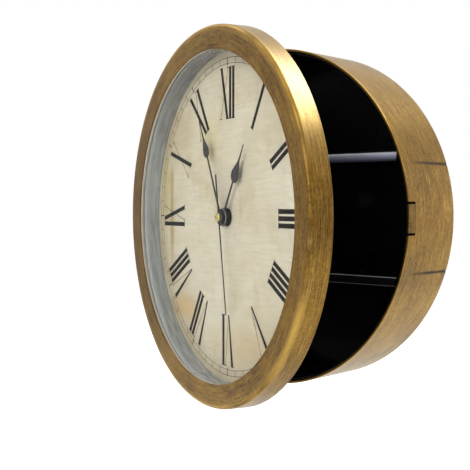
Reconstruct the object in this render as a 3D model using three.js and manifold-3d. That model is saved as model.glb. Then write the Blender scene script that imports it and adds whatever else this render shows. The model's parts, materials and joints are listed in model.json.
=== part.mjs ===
// A wall clock whose whole front is a door, with a shallow round safe behind it.
// Millimetres. +Z is up, +X is to the right as seen from the front, +Y goes into the wall.
// The origin is the middle of the back face, so the wall is the plane y = 0.
// The door stands ajar, turned about the hinge pin at nine o'clock.
import * as THREE from 'three';
import Module from 'manifold-3d';
import { mergeVertices } from 'three/addons/utils/BufferGeometryUtils.js';

const wasm = await Module();
wasm.setup();

const degree = Math.PI / 180;
const fullTurn = 360;
const clearance = 0.3;
const overrun = 2;
const mergeDistance = 1e-4;

// How finely rounds are cut into flats.
const ringSides = 60;
const discSides = 28;
const tubeSides = 16;
const screwSides = 10;
const nutSides = 6;
const arcSteps = 4;
const curveSteps = { plain: 6, corner: 3, keyhole: 10 };

// Door: the bezel's outside, how far it reaches past the tub all round, and how far it stands open.
const door = { radius: 127, thickness: 16, overhang: 11.5, ajarDegrees: 17, closedGap: 0.6 };

// Tub: the gold case behind the door. Its radius shrinks by the draft towards the wall.
const tub = { draft: 1, depth: 54, wall: 1.7, backPlate: 2.2, backRound: 3 };
const keyhole = { entryRadius: 5, slotRadius: 2.6, fromRim: 39.5, slotRise: 10 };
const seam = { level: 35, height: 1.2, depth: 0.6, start: 11 };

// Liner: the black inner tub, on four standing screw bosses.
const liner = { wall: 1.6, floor: 1.6, standOff: 4.4, mouthGap: 0.6 };
const linerScrew = {
  fromRim: 35.5, bearings: [45, 135, 225, 315], headRadius: 3.2, headHeight: 1, recess: 1.4,
  shankRadius: 1.3, grip: 0.9, seatRadius: 5.5, seatHeight: 1.5, bossRadius: 4.2,
};
// A shelf's height is that of the middle of its front lip, and its plate is the top of the lip.
const shelf = {
  height: 39.5, thickness: 2.4, lip: 7, lipThickness: 2.4, ledgeWidth: 6, ledgeThickness: 3,
  ledgeStart: 6,
};

// Screw heads: parts of the head's height and radius.
const screwShares = { shoulder: 0.4, top: 0.7, recess: 0.5, slot: 0.12, reach: 0.5 };

// Bezel: a ring with a hollow back, a lip in front of the pane and six screw bosses.
const bezel = {
  arris: 2.6, faceWidth: 16.4, lipThickness: 2.2, lipChamfer: 0.6, frontWall: 2.4, outerWall: 2.4,
  innerWall: 2, bossRadius: 3.2, bossShortOfFront: 1,
};
const pane = { overlap: 2.4, thickness: 2 };
const dial = { thickness: 0.8, setBack: 0.8 };
const spacer = { frontInset: 1, rearWall: 0.9 };
const cover = { flange: 1.8, floor: 1.5, plugWall: 0.9, plugGap: 0.7, chamfer: 2 };
const coverScrew = {
  count: 6, firstDegrees: 30, headRadius: 2.6, headHeight: 1.4, shankRadius: 1.2, length: 9,
};

// Latch: a springy tongue in the tub's rim at three o'clock, and the door's hook behind its nub.
const latch = {
  halfHeight: 9.3, slit: 1.2, length: 7.2, recess: 0.4, nubReach: 1.3, nubHalfHeight: 6,
  nubStart: 2, nubLength: 2,
};
const hook = { halfHeight: 5, armThickness: 1.8, lipReach: 0.9, lipLength: 1.8 };

// Hinge: a leaf on the door and a leaf on the tub, on one pin.
const hinge = {
  knuckleRadius: 3, pinRadius: 1.25, doorKnuckle: 8, caseKnuckle: 7.7, leafThickness: 1.4,
  doorLeafWidth: 7, doorLeafMargin: 4, caseLeafLength: 28, caseLeafStart: 2.2, caseLeafDepth: 20,
  webThickness: 3, pinHeadRadius: 2.2, pinHeadHeight: 0.8,
};
const doorHingeScrew = { fromPin: 0.6, headRadius: 2.6, headHeight: 1.4, shankRadius: 1.2, length: 9 };
const caseHingeScrew = {
  height: 9, fromLeafEnd: 6, headRadius: 2.4, headHeight: 1.2, shankRadius: 1.1, pastShell: 1.5,
};

// Movement: a flat box behind the dial, with its wheels in layers one behind the other.
const movement = {
  size: 56, depth: 13.5, wall: 1.2, corner: 3, postRadius: 1.8, postInset: 0.4,
  layer: 0.9, layerGap: 0.4, endPlay: 0.3, coverPlate: 1.2,
};
const neck = { radius: 4, bore: 2.4, thread: 2.2 };
const nut = { radius: 5.8, thickness: 1.6, washerRadius: 6.3, washerThickness: 0.5 };
const hourTube = { radius: 2.1, bore: 1.45 };
const minuteTube = { radius: 1.15, bore: 0.75 };
const arbor = { secondsRadius: 0.45, plainRadius: 0.5, motionRadius: 0.9 };
const battery = { radius: 7.1, endGap: 0.9, nubRadius: 2.7, nubLength: 1.2 };
const contact = { thickness: 0.5, halfHeight: 5, springReach: 1.1 };
const board = { width: 20, height: 10.5, thickness: 1 };
const crystal = { radius: 1, length: 6.5 };
const rotor = { magnetRadius: 3 };
const stator = { thickness: 1, poleGap: 0.6, arm: 2.6, bar: 3.2, core: 3 };
const coil = { length: 11.4, width: 7.2, depth: 3.4, flange: 0.8, flangeReach: 0.5 };
const knob = { radius: 5, thickness: 3, ribs: 20, ribDepth: 0.4 };

// Wheels: tooth counts, and the distances between the arbors. Angles are seen from the front.
const teeth = {
  rotor: 6, intermediateWheel: 36, intermediatePinion: 7, secondsWheel: 35, secondsPinion: 6,
  thirdWheel: 45, thirdPinion: 6, minuteWheel: 48, minutePinion: 10, motionWheel: 30,
  motionPinion: 8, hourWheel: 32,
};
const centres = { rotorDistance: 6.3, intermediateDistance: 8.64, thirdDistance: 11.2, motionDistance: 12 };
const bearing = { rotor: 30, intermediate: 15, third: 165, motion: 90 };
const toothForm = { addendumShare: 0.8, dedendumShare: 1.15, rootShare: 0.5, tipShare: 0.22 };

// Hands: lengths from the middle of the dial, and the time shown in degrees from twelve.
const hand = { thickness: 0.5, gap: 0.5, stalkWidth: 2, neckWidth: 1.5, tipWidth: 0.5 };
const hourHand = { length: 55.3, bulbWidth: 9.4, hubRadius: 6.2, degrees: 31 };
const minuteHand = { length: 75, bulbWidth: 7.8, hubRadius: 5.6, degrees: 334.5 };
const secondHand = { length: 65.6, tail: 29, width: 1.3, tipWidth: 0.7, hubRadius: 2.1, degrees: 171 };
const cap = { radius: 3.1, height: 1.5, boreDepth: 0.8 };
const capShares = { rim: 0.35, shoulderRadius: 0.8, topRadius: 0.4 };
// Where a bulb starts, is widest and ends along its hand, and how full it is halfway to its end.
const bulbShares = { hour: [0.5, 0.6, 0.78], minute: [0.61, 0.68, 0.8], waist: 0.6 };

// Places that follow from the sizes. Door places are in the door's own frame: its origin is the
// middle of the bezel's back edge, and y is negative towards the front.
const rimRadius = door.radius - door.overhang;
const tubOuter = (y) => rimRadius - tub.draft * (1 + y / tub.depth);
const tubInner = (y) => tubOuter(y) - tub.wall;
const linerOuter = (y) => tubInner(y) - clearance;
const linerInner = (y) => linerOuter(y) - liner.wall;

const plugRadius = tubInner(-tub.depth) - cover.plugGap;
const coverFlangeRadius = door.radius - bezel.outerWall - clearance;
const lipRadius = door.radius - bezel.faceWidth;
const paneRadius = lipRadius + pane.overlap;
const paneSeat = paneRadius + clearance;
const paneFront = -door.thickness + bezel.lipThickness + clearance;
const paneBack = paneFront + pane.thickness;
const dialFront = dial.setBack;
const dialBack = dialFront + dial.thickness;
const coverFloorFront = dialBack + clearance;
const coverBack = coverFloorFront + cover.floor;
const dishInner = plugRadius - cover.plugWall;
const dialRadius = dishInner - clearance;

const rimY = -tub.depth;
const mouthY = rimY + coverBack - door.closedGap + liner.mouthGap;
const linerBackY = -tub.backPlate - liner.standOff;
const linerFloorY = linerBackY - liner.floor;

const leafBackY = clearance + hinge.leafThickness;
const hingeX = -(rimRadius + clearance + hinge.leafThickness + clearance + hinge.knuckleRadius);
const hingeDoorY = leafBackY + clearance + hinge.knuckleRadius;
const hingeY = rimY - door.closedGap + hingeDoorY;
const bossCircle = (paneSeat + bezel.innerWall + door.radius - bezel.outerWall) / 2;

const movementFront = coverBack + clearance;
const movementInner = movementFront + movement.wall;
const movementBack = movementFront + movement.depth;
const movementCoverFront = movementBack - movement.coverPlate;
const half = movement.size / 2;
const halfInside = half - movement.wall;
const bayTop = -halfInside + 2 * (battery.radius + clearance);
const layerFront = (n) => movementInner + movement.layerGap + n * (movement.layer + movement.layerGap);
const layerBack = (n) => layerFront(n) + movement.layer;
const layers = { hour: 0, motion: 1, minute: 2, plate: 3, third: 4, seconds: 5, intermediate: 6 };
const frontPivot = movementInner + movement.endPlay;
const platePivot = layerBack(layers.plate) + movement.endPlay;
const backPivot = movementCoverFront - movement.endPlay;

const neckFront = dialFront - nut.washerThickness - clearance - neck.thread;
const washerFront = dialFront - clearance - nut.washerThickness;
const nutFront = washerFront - clearance - nut.thickness;
const hourHandBack = Math.min(neckFront, nutFront) - hand.gap;
const hourHandFront = hourHandBack - hand.thickness;
const hourTubeFront = hourHandFront - hand.thickness;
const minuteHandBack = hourTubeFront - hand.gap;
const minuteHandFront = minuteHandBack - hand.thickness;
const minuteTubeFront = minuteHandFront - hand.thickness;
const secondHandBack = minuteTubeFront - hand.gap;
const secondHandFront = secondHandBack - hand.thickness;
const capBack = secondHandFront - clearance;
const capFront = capBack - cap.height;
const secondsArborFront = capBack - cap.boreDepth + clearance;

const polar = (radius, degrees) => [
  radius * Math.cos(degrees * degree), radius * Math.sin(degrees * degree),
];
const places = {
  centre: [0, 0],
  third: polar(centres.thirdDistance, bearing.third),
  motion: polar(centres.motionDistance, bearing.motion),
};
places.intermediate = polar(centres.intermediateDistance, bearing.intermediate);
places.rotor = places.intermediate.map((at, axis) => at + polar(centres.rotorDistance, bearing.rotor)[axis]);

// Solids

// Drops normals and texture coordinates, merges shared corners and turns the faces outwards.
function closed(geometry) {
  const bare = geometry.index ? geometry.toNonIndexed() : geometry.clone();
  bare.deleteAttribute('normal');
  bare.deleteAttribute('uv');
  const merged = mergeVertices(bare, mergeDistance);
  const points = merged.attributes.position.array;
  const source = merged.index.array;
  const faces = [];
  for (let i = 0; i < source.length; i += 3) {
    const [a, b, c] = [source[i], source[i + 1], source[i + 2]];
    if (a !== b && b !== c && a !== c) faces.push(a, b, c);
  }
  let volume = 0;
  for (let i = 0; i < faces.length; i += 3) {
    const [a, b, c] = [0, 1, 2].map((n) => new THREE.Vector3().fromArray(points, faces[i + n] * 3));
    volume += a.dot(b.cross(c));
  }
  if (volume < 0) faces.reverse();
  return { points, faces };
}

function solid(geometry) {
  const { points, faces } = closed(geometry);
  const vertProperties = new Float32Array(points);
  const triVerts = new Uint32Array(faces);
  return new wasm.Manifold(new wasm.Mesh({ numProp: 3, vertProperties, triVerts }));
}

function geometryOf(body) {
  const mesh = body.getMesh();
  const geometry = new THREE.BufferGeometry();
  geometry.setAttribute('position', new THREE.BufferAttribute(mesh.vertProperties, 3));
  geometry.setIndex(new THREE.BufferAttribute(mesh.triVerts, 1));
  geometry.computeVertexNormals();
  return geometry;
}

const joined = (bodies) => bodies.reduce((sum, body) => sum.add(body));
const without = (body, cutters) => cutters.reduce((rest, cutter) => rest.subtract(cutter), body);

// A round of revolution about the Y axis, from points of radius and y.
function turned(outline, sides = ringSides) {
  const points = outline.map(([radius, y]) => new THREE.Vector2(radius, y));
  if (outline[0][0] !== 0) points.push(points[0].clone());
  return solid(new THREE.LatheGeometry(points, sides));
}

// A round bar along Y.
function bar(radius, front, back, [x, z] = [0, 0], sides = tubeSides) {
  const geometry = new THREE.CylinderGeometry(radius, radius, back - front, sides);
  return solid(geometry.translate(x, (front + back) / 2, z));
}

// A round bar along X.
function crossBar(radius, left, right, y, z, sides = tubeSides) {
  const geometry = new THREE.CylinderGeometry(radius, radius, right - left, sides);
  return solid(geometry.rotateZ(Math.PI / 2).translate((left + right) / 2, y, z));
}

// A round bar along Z.
function uprightBar(radius, bottom, top, x, y, sides = tubeSides) {
  const geometry = new THREE.CylinderGeometry(radius, radius, top - bottom, sides);
  return solid(geometry.rotateX(Math.PI / 2).translate(x, y, (bottom + top) / 2));
}

function block([x0, x1], [y0, y1], [z0, z1]) {
  const geometry = new THREE.BoxGeometry(x1 - x0, y1 - y0, z1 - z0);
  return solid(geometry.translate((x0 + x1) / 2, (y0 + y1) / 2, (z0 + z1) / 2));
}

// A flat plate in the plane of the dial, between two values of y.
function plate(shape, front, back, curveSegments = curveSteps.plain) {
  const options = { depth: back - front, bevelEnabled: false, curveSegments };
  return solid(new THREE.ExtrudeGeometry(shape, options).rotateX(Math.PI / 2).translate(0, back, 0));
}

function roundedRectangle([x0, x1], [z0, z1], radius) {
  const shape = new THREE.Shape();
  shape.moveTo(x0 + radius, z0).lineTo(x1 - radius, z0);
  shape.absarc(x1 - radius, z0 + radius, radius, -Math.PI / 2, 0, false);
  shape.absarc(x1 - radius, z1 - radius, radius, 0, Math.PI / 2, false);
  shape.absarc(x0 + radius, z1 - radius, radius, Math.PI / 2, Math.PI, false);
  shape.absarc(x0 + radius, z0 + radius, radius, Math.PI, 1.5 * Math.PI, false);
  return shape;
}

// Points of a quarter round of the given radius, from one direction to the other.
function quarter(radius, [cx, cy], fromDegrees, toDegrees, steps = arcSteps) {
  return Array.from({ length: steps + 1 }, (_, i) => {
    const [dx, dy] = polar(radius, fromDegrees + ((toDegrees - fromDegrees) * i) / steps);
    return [cx + dx, cy + dy];
  });
}

// A screw along Y with its tip forward: a shank and a domed head with a cross recess.
function screwSolid(sizes, headFront, tip, [x, z]) {
  const headBack = headFront + sizes.headHeight;
  const shoulder = headFront + sizes.headHeight * screwShares.shoulder;
  const head = turned([[0, headFront], [sizes.headRadius, headFront], [sizes.headRadius, shoulder],
    [sizes.headRadius * screwShares.top, headBack], [0, headBack]], screwSides).translate([x, 0, z]);
  const shank = bar(sizes.shankRadius, tip, shoulder, [x, z], screwSides);
  const slot = sizes.headRadius * screwShares.slot;
  const reach = sizes.headRadius * screwShares.reach;
  const floor = headBack - sizes.headHeight * screwShares.recess;
  const cross = [
    block([x - reach, x + reach], [floor, headBack + overrun], [z - slot, z + slot]),
    block([x - slot, x + slot], [floor, headBack + overrun], [z - reach, z + reach]),
  ];
  return without(head.add(shank), cross);
}

// Finishes: colour, roughness and metalness as the photograph shows them.
const finishes = {
  gold: { color: 0x8f6f35, roughness: 0.42, metalness: 0.55 },
  black: { color: 0x0b0b0c, roughness: 0.35, metalness: 0 },
  glass: { color: 0xe9eef0, roughness: 0.03, metalness: 0, transparent: true, opacity: 0.2 },
  paleGrey: { color: 0x9c9c9a, roughness: 0.5, metalness: 0 },
  parchment: { color: 0xd9c9a3, roughness: 0.8, metalness: 0 },
  handBlack: { color: 0x111010, roughness: 0.4, metalness: 0.2 },
  brass: { color: 0xb08d4a, roughness: 0.3, metalness: 1 },
  steel: { color: 0xa7a9ac, roughness: 0.35, metalness: 1 },
  whitePlastic: { color: 0xdedcd4, roughness: 0.5, metalness: 0 },
  circuitGreen: { color: 0x23583a, roughness: 0.5, metalness: 0 },
  copper: { color: 0xa4562a, roughness: 0.4, metalness: 1 },
  cellSleeve: { color: 0x3c4654, roughness: 0.4, metalness: 0.3 },
};
const materials = Object.fromEntries(
  Object.entries(finishes).map(([name, finish]) => [name, new THREE.MeshStandardMaterial(finish)]),
);

function piece(name, body, material, parent) {
  const mesh = new THREE.Mesh(geometryOf(body), materials[material]);
  mesh.name = name;
  parent.add(mesh);
  return mesh;
}

// Case

const linerScrewCircle = rimRadius - linerScrew.fromRim;
const linerScrewPlaces = linerScrew.bearings.map((degrees) => polar(linerScrewCircle, degrees));
const shelfHeights = [shelf.height, -shelf.height];
const caseHingeScrewY = rimY + hinge.caseLeafStart + hinge.caseLeafDepth - caseHingeScrew.fromLeafEnd;
const caseHingeScrewHeights = [caseHingeScrew.height, -caseHingeScrew.height];
const latchWindowHalf = latch.halfHeight + latch.slit;
const latchRootY = rimY + latch.length + clearance;

// Holes for the case hinge screws, from outside the tub well into it.
function caseHingeHoles() {
  const radius = caseHingeScrew.shankRadius + clearance;
  return caseHingeScrewHeights.map((z) => (
    crossBar(radius, -door.radius, -rimRadius / 2, caseHingeScrewY, z, screwSides)
  ));
}

function tubProfile() {
  const backRadius = tubOuter(0);
  return [
    [0, 0],
    ...quarter(tub.backRound, [backRadius - tub.backRound, -tub.backRound], 90, 0),
    [tubOuter(rimY), rimY],
    [tubInner(rimY), rimY],
    [tubInner(-tub.backPlate), -tub.backPlate],
    [0, -tub.backPlate],
  ];
}

function keyholeCutter() {
  const shape = new THREE.Shape();
  const entryHeight = rimRadius - keyhole.fromRim;
  const slotTop = entryHeight + keyhole.slotRise;
  const joint = Math.asin(keyhole.slotRadius / keyhole.entryRadius);
  shape.absarc(0, slotTop, keyhole.slotRadius, 0, Math.PI, false);
  shape.absarc(0, entryHeight, keyhole.entryRadius, Math.PI / 2 + joint, 2.5 * Math.PI - joint, false);
  return plate(shape, -tub.backPlate - overrun, overrun, curveSteps.keyhole);
}

function caseShell() {
  const seatFront = -tub.backPlate - linerScrew.seatHeight;
  const headRadius = linerScrew.headRadius + clearance;
  const shankRadius = linerScrew.shankRadius + clearance;
  const seats = linerScrewPlaces.map((at) => bar(linerScrew.seatRadius, seatFront, -linerScrew.recess, at));
  const recesses = linerScrewPlaces.map((at) => bar(headRadius, -linerScrew.recess, overrun, at));
  const screwHoles = linerScrewPlaces.map((at) => bar(shankRadius, seatFront - overrun, overrun, at));
  const window = block([0, door.radius], [rimY - overrun, latchRootY], [-latchWindowHalf, latchWindowHalf]);
  const seams = [seam.level, -seam.level].flatMap((z) => [-1, 1].map((side) => {
    const outer = side * door.radius;
    const inner = side * (Math.sqrt(tubOuter(0) ** 2 - seam.level ** 2) - seam.depth);
    const x = [Math.min(outer, inner), Math.max(outer, inner)];
    return block(x, [rimY + seam.start, overrun], [z - seam.height / 2, z + seam.height / 2]);
  }));
  const body = joined([turned(tubProfile()), ...seats]);
  return without(body, [...recesses, ...screwHoles, keyholeCutter(), window, ...caseHingeHoles(), ...seams]);
}

function linerOutline(inset) {
  return [
    [0, linerBackY - inset],
    [linerOuter(linerBackY) - inset, linerBackY - inset],
    [linerOuter(mouthY) - inset, mouthY - (inset ? overrun : 0)],
    [0, mouthY - (inset ? overrun : 0)],
  ];
}

function caseLiner() {
  const outside = turned(linerOutline(0));
  const inside = turned([[0, linerFloorY], [linerInner(linerFloorY), linerFloorY],
    [linerInner(mouthY), mouthY], [linerInner(mouthY), mouthY - overrun], [0, mouthY - overrun]]);
  const ledges = shelfHeights.flatMap((z) => [-1, 1].map((side) => {
    const top = z + shelf.lip / 2 - shelf.thickness - clearance;
    const wallX = Math.sqrt(linerInner(linerFloorY) ** 2 - (Math.abs(z) + shelf.lip / 2) ** 2);
    const reach = wallX - shelf.ledgeWidth;
    const x = side > 0 ? [reach, door.radius] : [-door.radius, -reach];
    const y = [mouthY + shelf.ledgeStart, linerFloorY + liner.floor / 2];
    return block(x, y, [top - shelf.ledgeThickness, top]).intersect(outside);
  }));
  const bossFront = linerBackY - liner.floor / 2;
  const bossBack = -tub.backPlate - linerScrew.seatHeight - clearance;
  const bosses = linerScrewPlaces.map((at) => bar(linerScrew.bossRadius, bossFront, bossBack, at));
  const pilots = linerScrewPlaces.map((at) => (
    bar(linerScrew.shankRadius + clearance, linerBackY - linerScrew.grip - clearance, bossBack + overrun, at)
  ));
  const notchHalf = latchWindowHalf + clearance;
  const notchEnd = latchRootY + latch.slit;
  const notch = block([0, door.radius], [mouthY - overrun, notchEnd], [-notchHalf, notchHalf]);
  const shell = outside.subtract(inside);
  return without(joined([shell, ...ledges, ...bosses]), [...pilots, notch, ...caseHingeHoles()]);
}

// A shelf fills the liner from wall to wall, from the mouth to the floor. Its lip hangs at the mouth.
function shelfPlate(z) {
  const farthest = shelf.height + shelf.lip / 2;
  const front = mouthY;
  const back = linerFloorY - clearance;
  const halfAt = (y) => Math.sqrt((linerInner(y) - clearance) ** 2 - farthest ** 2);
  const outline = [
    [-halfAt(front), front], [halfAt(front), front], [halfAt(back), back], [-halfAt(back), back],
  ];
  const shape = new THREE.Shape(outline.map(([x, y]) => new THREE.Vector2(x, y)));
  const geometry = new THREE.ExtrudeGeometry(shape, { depth: shelf.lip, bevelEnabled: false });
  const low = z - shelf.lip / 2;
  const plateBottom = low + shelf.lip - shelf.thickness;
  const behindLip = [front + shelf.lipThickness, overrun];
  const under = block([-door.radius, door.radius], behindLip, [low - overrun, plateBottom]);
  return solid(geometry.translate(0, 0, low)).subtract(under);
}

function linerScrewSolid(at) {
  const tip = linerBackY - linerScrew.grip;
  const headFront = -linerScrew.recess + clearance;
  return screwSolid(linerScrew, headFront, tip, at);
}

function latchTongue() {
  const outer = tubOuter(rimY) - latch.recess;
  const inner = tubInner(rimY);
  const back = rimY + latch.length;
  const ring = turned([[inner, rimY], [outer, rimY], [outer, back], [inner, back]]);
  const height = [-latch.halfHeight, latch.halfHeight];
  const tongue = ring.intersect(block([0, door.radius], [rimY - overrun, back + overrun], height));
  const nubY = rimY + latch.nubStart;
  const nubInner = inner - latch.nubReach;
  const shape = new THREE.Shape();
  shape.moveTo(inner + latch.recess, nubY).lineTo(nubInner, nubY + latch.nubLength / 2);
  shape.lineTo(nubInner, nubY + latch.nubLength).lineTo(inner + latch.recess, nubY + latch.nubLength);
  const ramp = new THREE.ExtrudeGeometry(shape, { depth: 2 * latch.nubHalfHeight, bevelEnabled: false });
  return tongue.add(solid(ramp.translate(0, 0, -latch.nubHalfHeight)));
}

// Hinge

const caseKnuckleStart = hinge.doorKnuckle / 2 + clearance;
const caseKnuckleSpan = [caseKnuckleStart, caseKnuckleStart + hinge.caseKnuckle];
const pinHalf = caseKnuckleSpan[1] + clearance;

function caseHingeLeaf() {
  const plateFront = rimY + hinge.caseLeafStart;
  const wallRadius = rimRadius + clearance;
  const outer = -(wallRadius + hinge.leafThickness);
  const slab = block([outer, -rimRadius / 2], [plateFront, plateFront + hinge.caseLeafDepth],
    [-hinge.caseLeafLength / 2, hinge.caseLeafLength / 2]);
  const wall = turned([[0, rimY - overrun], [wallRadius, rimY - overrun], [wallRadius, 0], [0, 0]]);
  const knuckles = [1, -1].flatMap((side) => {
    const [low, high] = caseKnuckleSpan.map((z) => side * z).sort((a, b) => a - b);
    const web = block([hingeX, outer + hinge.leafThickness / 2],
      [hingeY - hinge.webThickness / 2, hingeY + hinge.webThickness / 2], [low, high]);
    return [uprightBar(hinge.knuckleRadius, low, high, hingeX, hingeY), web];
  });
  const bore = uprightBar(hinge.pinRadius + clearance, -door.radius, door.radius, hingeX, hingeY);
  return without(joined([slab.subtract(wall), ...knuckles]), [bore, ...caseHingeHoles()]);
}

function hingePin() {
  const shank = uprightBar(hinge.pinRadius, -pinHalf, pinHalf, hingeX, hingeY);
  const head = uprightBar(hinge.pinHeadRadius, pinHalf, pinHalf + hinge.pinHeadHeight, hingeX, hingeY);
  return shank.add(head);
}

function caseHingeScrewSolid(z) {
  const { headRadius, headHeight, shankRadius, pastShell } = caseHingeScrew;
  const headInner = -(rimRadius + clearance + hinge.leafThickness + clearance);
  const slotFloor = headInner - headHeight / 2;
  const tip = -(tubInner(caseHingeScrewY) - pastShell);
  const shank = crossBar(shankRadius, slotFloor, tip, caseHingeScrewY, z, screwSides);
  const head = crossBar(headRadius, headInner - headHeight, headInner, caseHingeScrewY, z, screwSides);
  const slotHalf = headRadius * screwShares.slot;
  const slot = block([headInner - headHeight - overrun, slotFloor],
    [caseHingeScrewY - 2 * headRadius, caseHingeScrewY + 2 * headRadius], [z - slotHalf, z + slotHalf]);
  return head.add(shank).subtract(slot);
}

function doorHingeLeaf() {
  const edge = hinge.doorLeafWidth / 2;
  const reach = doorHingeScrewHeight + hinge.doorLeafMargin;
  const knuckleHalf = hinge.doorKnuckle / 2;
  const strip = block([hingeX - edge, hingeX + edge], [clearance, leafBackY], [-reach, reach]);
  const web = block([hingeX - hinge.webThickness / 2, hingeX + hinge.webThickness / 2],
    [leafBackY - hinge.leafThickness / 2, hingeDoorY], [-knuckleHalf, knuckleHalf]);
  const knuckle = uprightBar(hinge.knuckleRadius, -knuckleHalf, knuckleHalf, hingeX, hingeDoorY);
  const bore = uprightBar(hinge.pinRadius + clearance, -door.radius, door.radius, hingeX, hingeDoorY);
  const holes = screwHoles(doorHingeScrew, doorHingeScrewPlaces, -overrun, leafBackY + overrun);
  return without(joined([strip, web, knuckle]), [bore, ...holes]);
}

// Door

const pinEnd = pinHalf + hinge.pinHeadHeight;
const doorHingeScrewHeight = pinEnd + doorHingeScrew.fromPin + doorHingeScrew.headRadius;
const doorHingeScrewPlaces = [1, -1].map((side) => [hingeX, side * doorHingeScrewHeight]);
const coverScrewPlaces = Array.from({ length: coverScrew.count }, (_, i) => (
  polar(bossCircle, coverScrew.firstDegrees + (i * fullTurn) / coverScrew.count)
));

const doorScrewPlaces = [...coverScrewPlaces, ...doorHingeScrewPlaces];

// Clearance holes along Y for a set of screws.
function screwHoles(screw, at, front, back) {
  return at.map((place) => bar(screw.shankRadius + clearance, front, back, place, screwSides));
}

// Holes for every screw that goes into the bezel from behind.
function doorScrewHoles(front, back) {
  return [
    ...screwHoles(coverScrew, coverScrewPlaces, front, back),
    ...screwHoles(doorHingeScrew, doorHingeScrewPlaces, front, back),
  ];
}

function bezelRing() {
  const front = -door.thickness;
  const channel = front + bezel.frontWall;
  const seat = -cover.flange - clearance;
  const inner = paneSeat + bezel.innerWall;
  const outer = door.radius - bezel.outerWall;
  const ring = turned([
    [door.radius, 0],
    ...quarter(bezel.arris, [door.radius - bezel.arris, front + bezel.arris], 0, -90),
    [lipRadius + bezel.lipChamfer, front],
    [lipRadius, front + bezel.lipChamfer],
    [lipRadius, front + bezel.lipThickness],
    [paneSeat, front + bezel.lipThickness],
    [paneSeat, seat],
    [inner, seat],
    [inner, channel],
    [outer, channel],
    [outer, 0],
  ]);
  const bossFront = channel - bezel.frontWall / 2;
  const [grooveInner, grooveOuter] = [inner - bezel.innerWall / 2, outer + bezel.outerWall / 2];
  const groove = turned([
    [grooveInner, bossFront], [grooveOuter, bossFront], [grooveOuter, 0], [grooveInner, 0],
  ]);
  const bosses = doorScrewPlaces.map((at) => (
    bar(bezel.bossRadius, bossFront, seat, at, screwSides).intersect(groove)
  ));
  return without(joined([ring, ...bosses]), doorScrewHoles(channel + bezel.bossShortOfFront, overrun));
}

function spacerRing() {
  const front = paneBack + clearance;
  const back = dialFront - clearance;
  const step = -cover.flange - clearance;
  return turned([
    [paneRadius - spacer.frontInset, front],
    [paneRadius, front],
    [paneRadius, step],
    [dialRadius, step],
    [dialRadius, back],
    [dialRadius - spacer.rearWall, back],
  ]);
}

function rearCover() {
  const shell = turned([
    [neck.radius + clearance, coverFloorFront],
    [dishInner, coverFloorFront],
    [dishInner, -cover.flange],
    [coverFlangeRadius, -cover.flange],
    [coverFlangeRadius, 0],
    [plugRadius, 0],
    [plugRadius, coverBack - cover.chamfer],
    [plugRadius - cover.chamfer, coverBack],
    [neck.radius + clearance, coverBack],
  ]);
  const nubBack = door.closedGap + latch.nubStart + latch.nubLength;
  const armOuter = tubInner(rimY) - latch.nubReach - clearance - clearance;
  const armInner = armOuter - hook.armThickness;
  const armFront = coverBack - cover.floor / 2;
  const lipFront = nubBack + clearance;
  const lipBack = lipFront + hook.lipLength;
  const shape = new THREE.Shape();
  shape.moveTo(armInner, armFront).lineTo(armOuter, armFront).lineTo(armOuter, lipFront);
  shape.lineTo(armOuter + hook.lipReach + clearance, lipFront);
  shape.lineTo(armOuter, lipBack).lineTo(armInner, lipBack);
  const arm = new THREE.ExtrudeGeometry(shape, { depth: 2 * hook.halfHeight, bevelEnabled: false });
  const holes = doorScrewHoles(-cover.flange - overrun, overrun);
  return without(shell, holes).add(solid(arm.translate(0, 0, -hook.halfHeight)));
}

// Movement

// Outline of a toothed wheel, with a tooth or a gap in the given direction.
function gearShape(count, module, tooth, directionDegrees) {
  const pitch = (2 * Math.PI) / count;
  const tip = module * (count / 2 + toothForm.addendumShare);
  const root = module * (count / 2 - toothForm.dedendumShare);
  const rootHalf = (pitch * toothForm.rootShare) / 2;
  const tipHalf = (pitch * toothForm.tipShare) / 2;
  const start = directionDegrees * degree + (tooth ? 0 : pitch / 2);
  const points = [];
  for (let i = 0; i < count; i += 1) {
    const middle = start + i * pitch;
    const corners = [[root, -rootHalf], [tip, -tipHalf], [tip, tipHalf], [root, rootHalf]];
    for (const [radius, turn] of corners) {
      points.push(new THREE.Vector2(radius * Math.cos(middle + turn), radius * Math.sin(middle + turn)));
    }
  }
  return new THREE.Shape(points);
}

const moduleOf = (distance, first, second) => (2 * distance) / (first + second);
const modules = {
  rotor: moduleOf(centres.rotorDistance, teeth.rotor, teeth.intermediateWheel),
  intermediate: moduleOf(centres.intermediateDistance, teeth.intermediatePinion, teeth.secondsWheel),
  seconds: moduleOf(centres.thirdDistance, teeth.secondsPinion, teeth.thirdWheel),
  third: moduleOf(centres.thirdDistance, teeth.thirdPinion, teeth.minuteWheel),
  minute: moduleOf(centres.motionDistance, teeth.minutePinion, teeth.motionWheel),
  motion: moduleOf(centres.motionDistance, teeth.motionPinion, teeth.hourWheel),
};

// Places a wheel in its layer on its arbor.
function wheel(count, module, tooth, direction, layer, [x, z]) {
  const outline = gearShape(count, module, tooth, direction);
  return plate(outline, layerFront(layer), layerBack(layer)).translate([x, 0, z]);
}

const opposite = (degrees) => degrees + fullTurn / 2;

function rotorSolid() {
  const at = places.rotor;
  const pinion = wheel(teeth.rotor, modules.rotor, false, opposite(bearing.rotor), layers.intermediate, at);
  const magnet = bar(rotor.magnetRadius, layerFront(layers.third), layerBack(layers.seconds), at);
  const shaft = bar(arbor.plainRadius, platePivot, backPivot, at, screwSides);
  return joined([pinion, magnet, shaft]);
}

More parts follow.
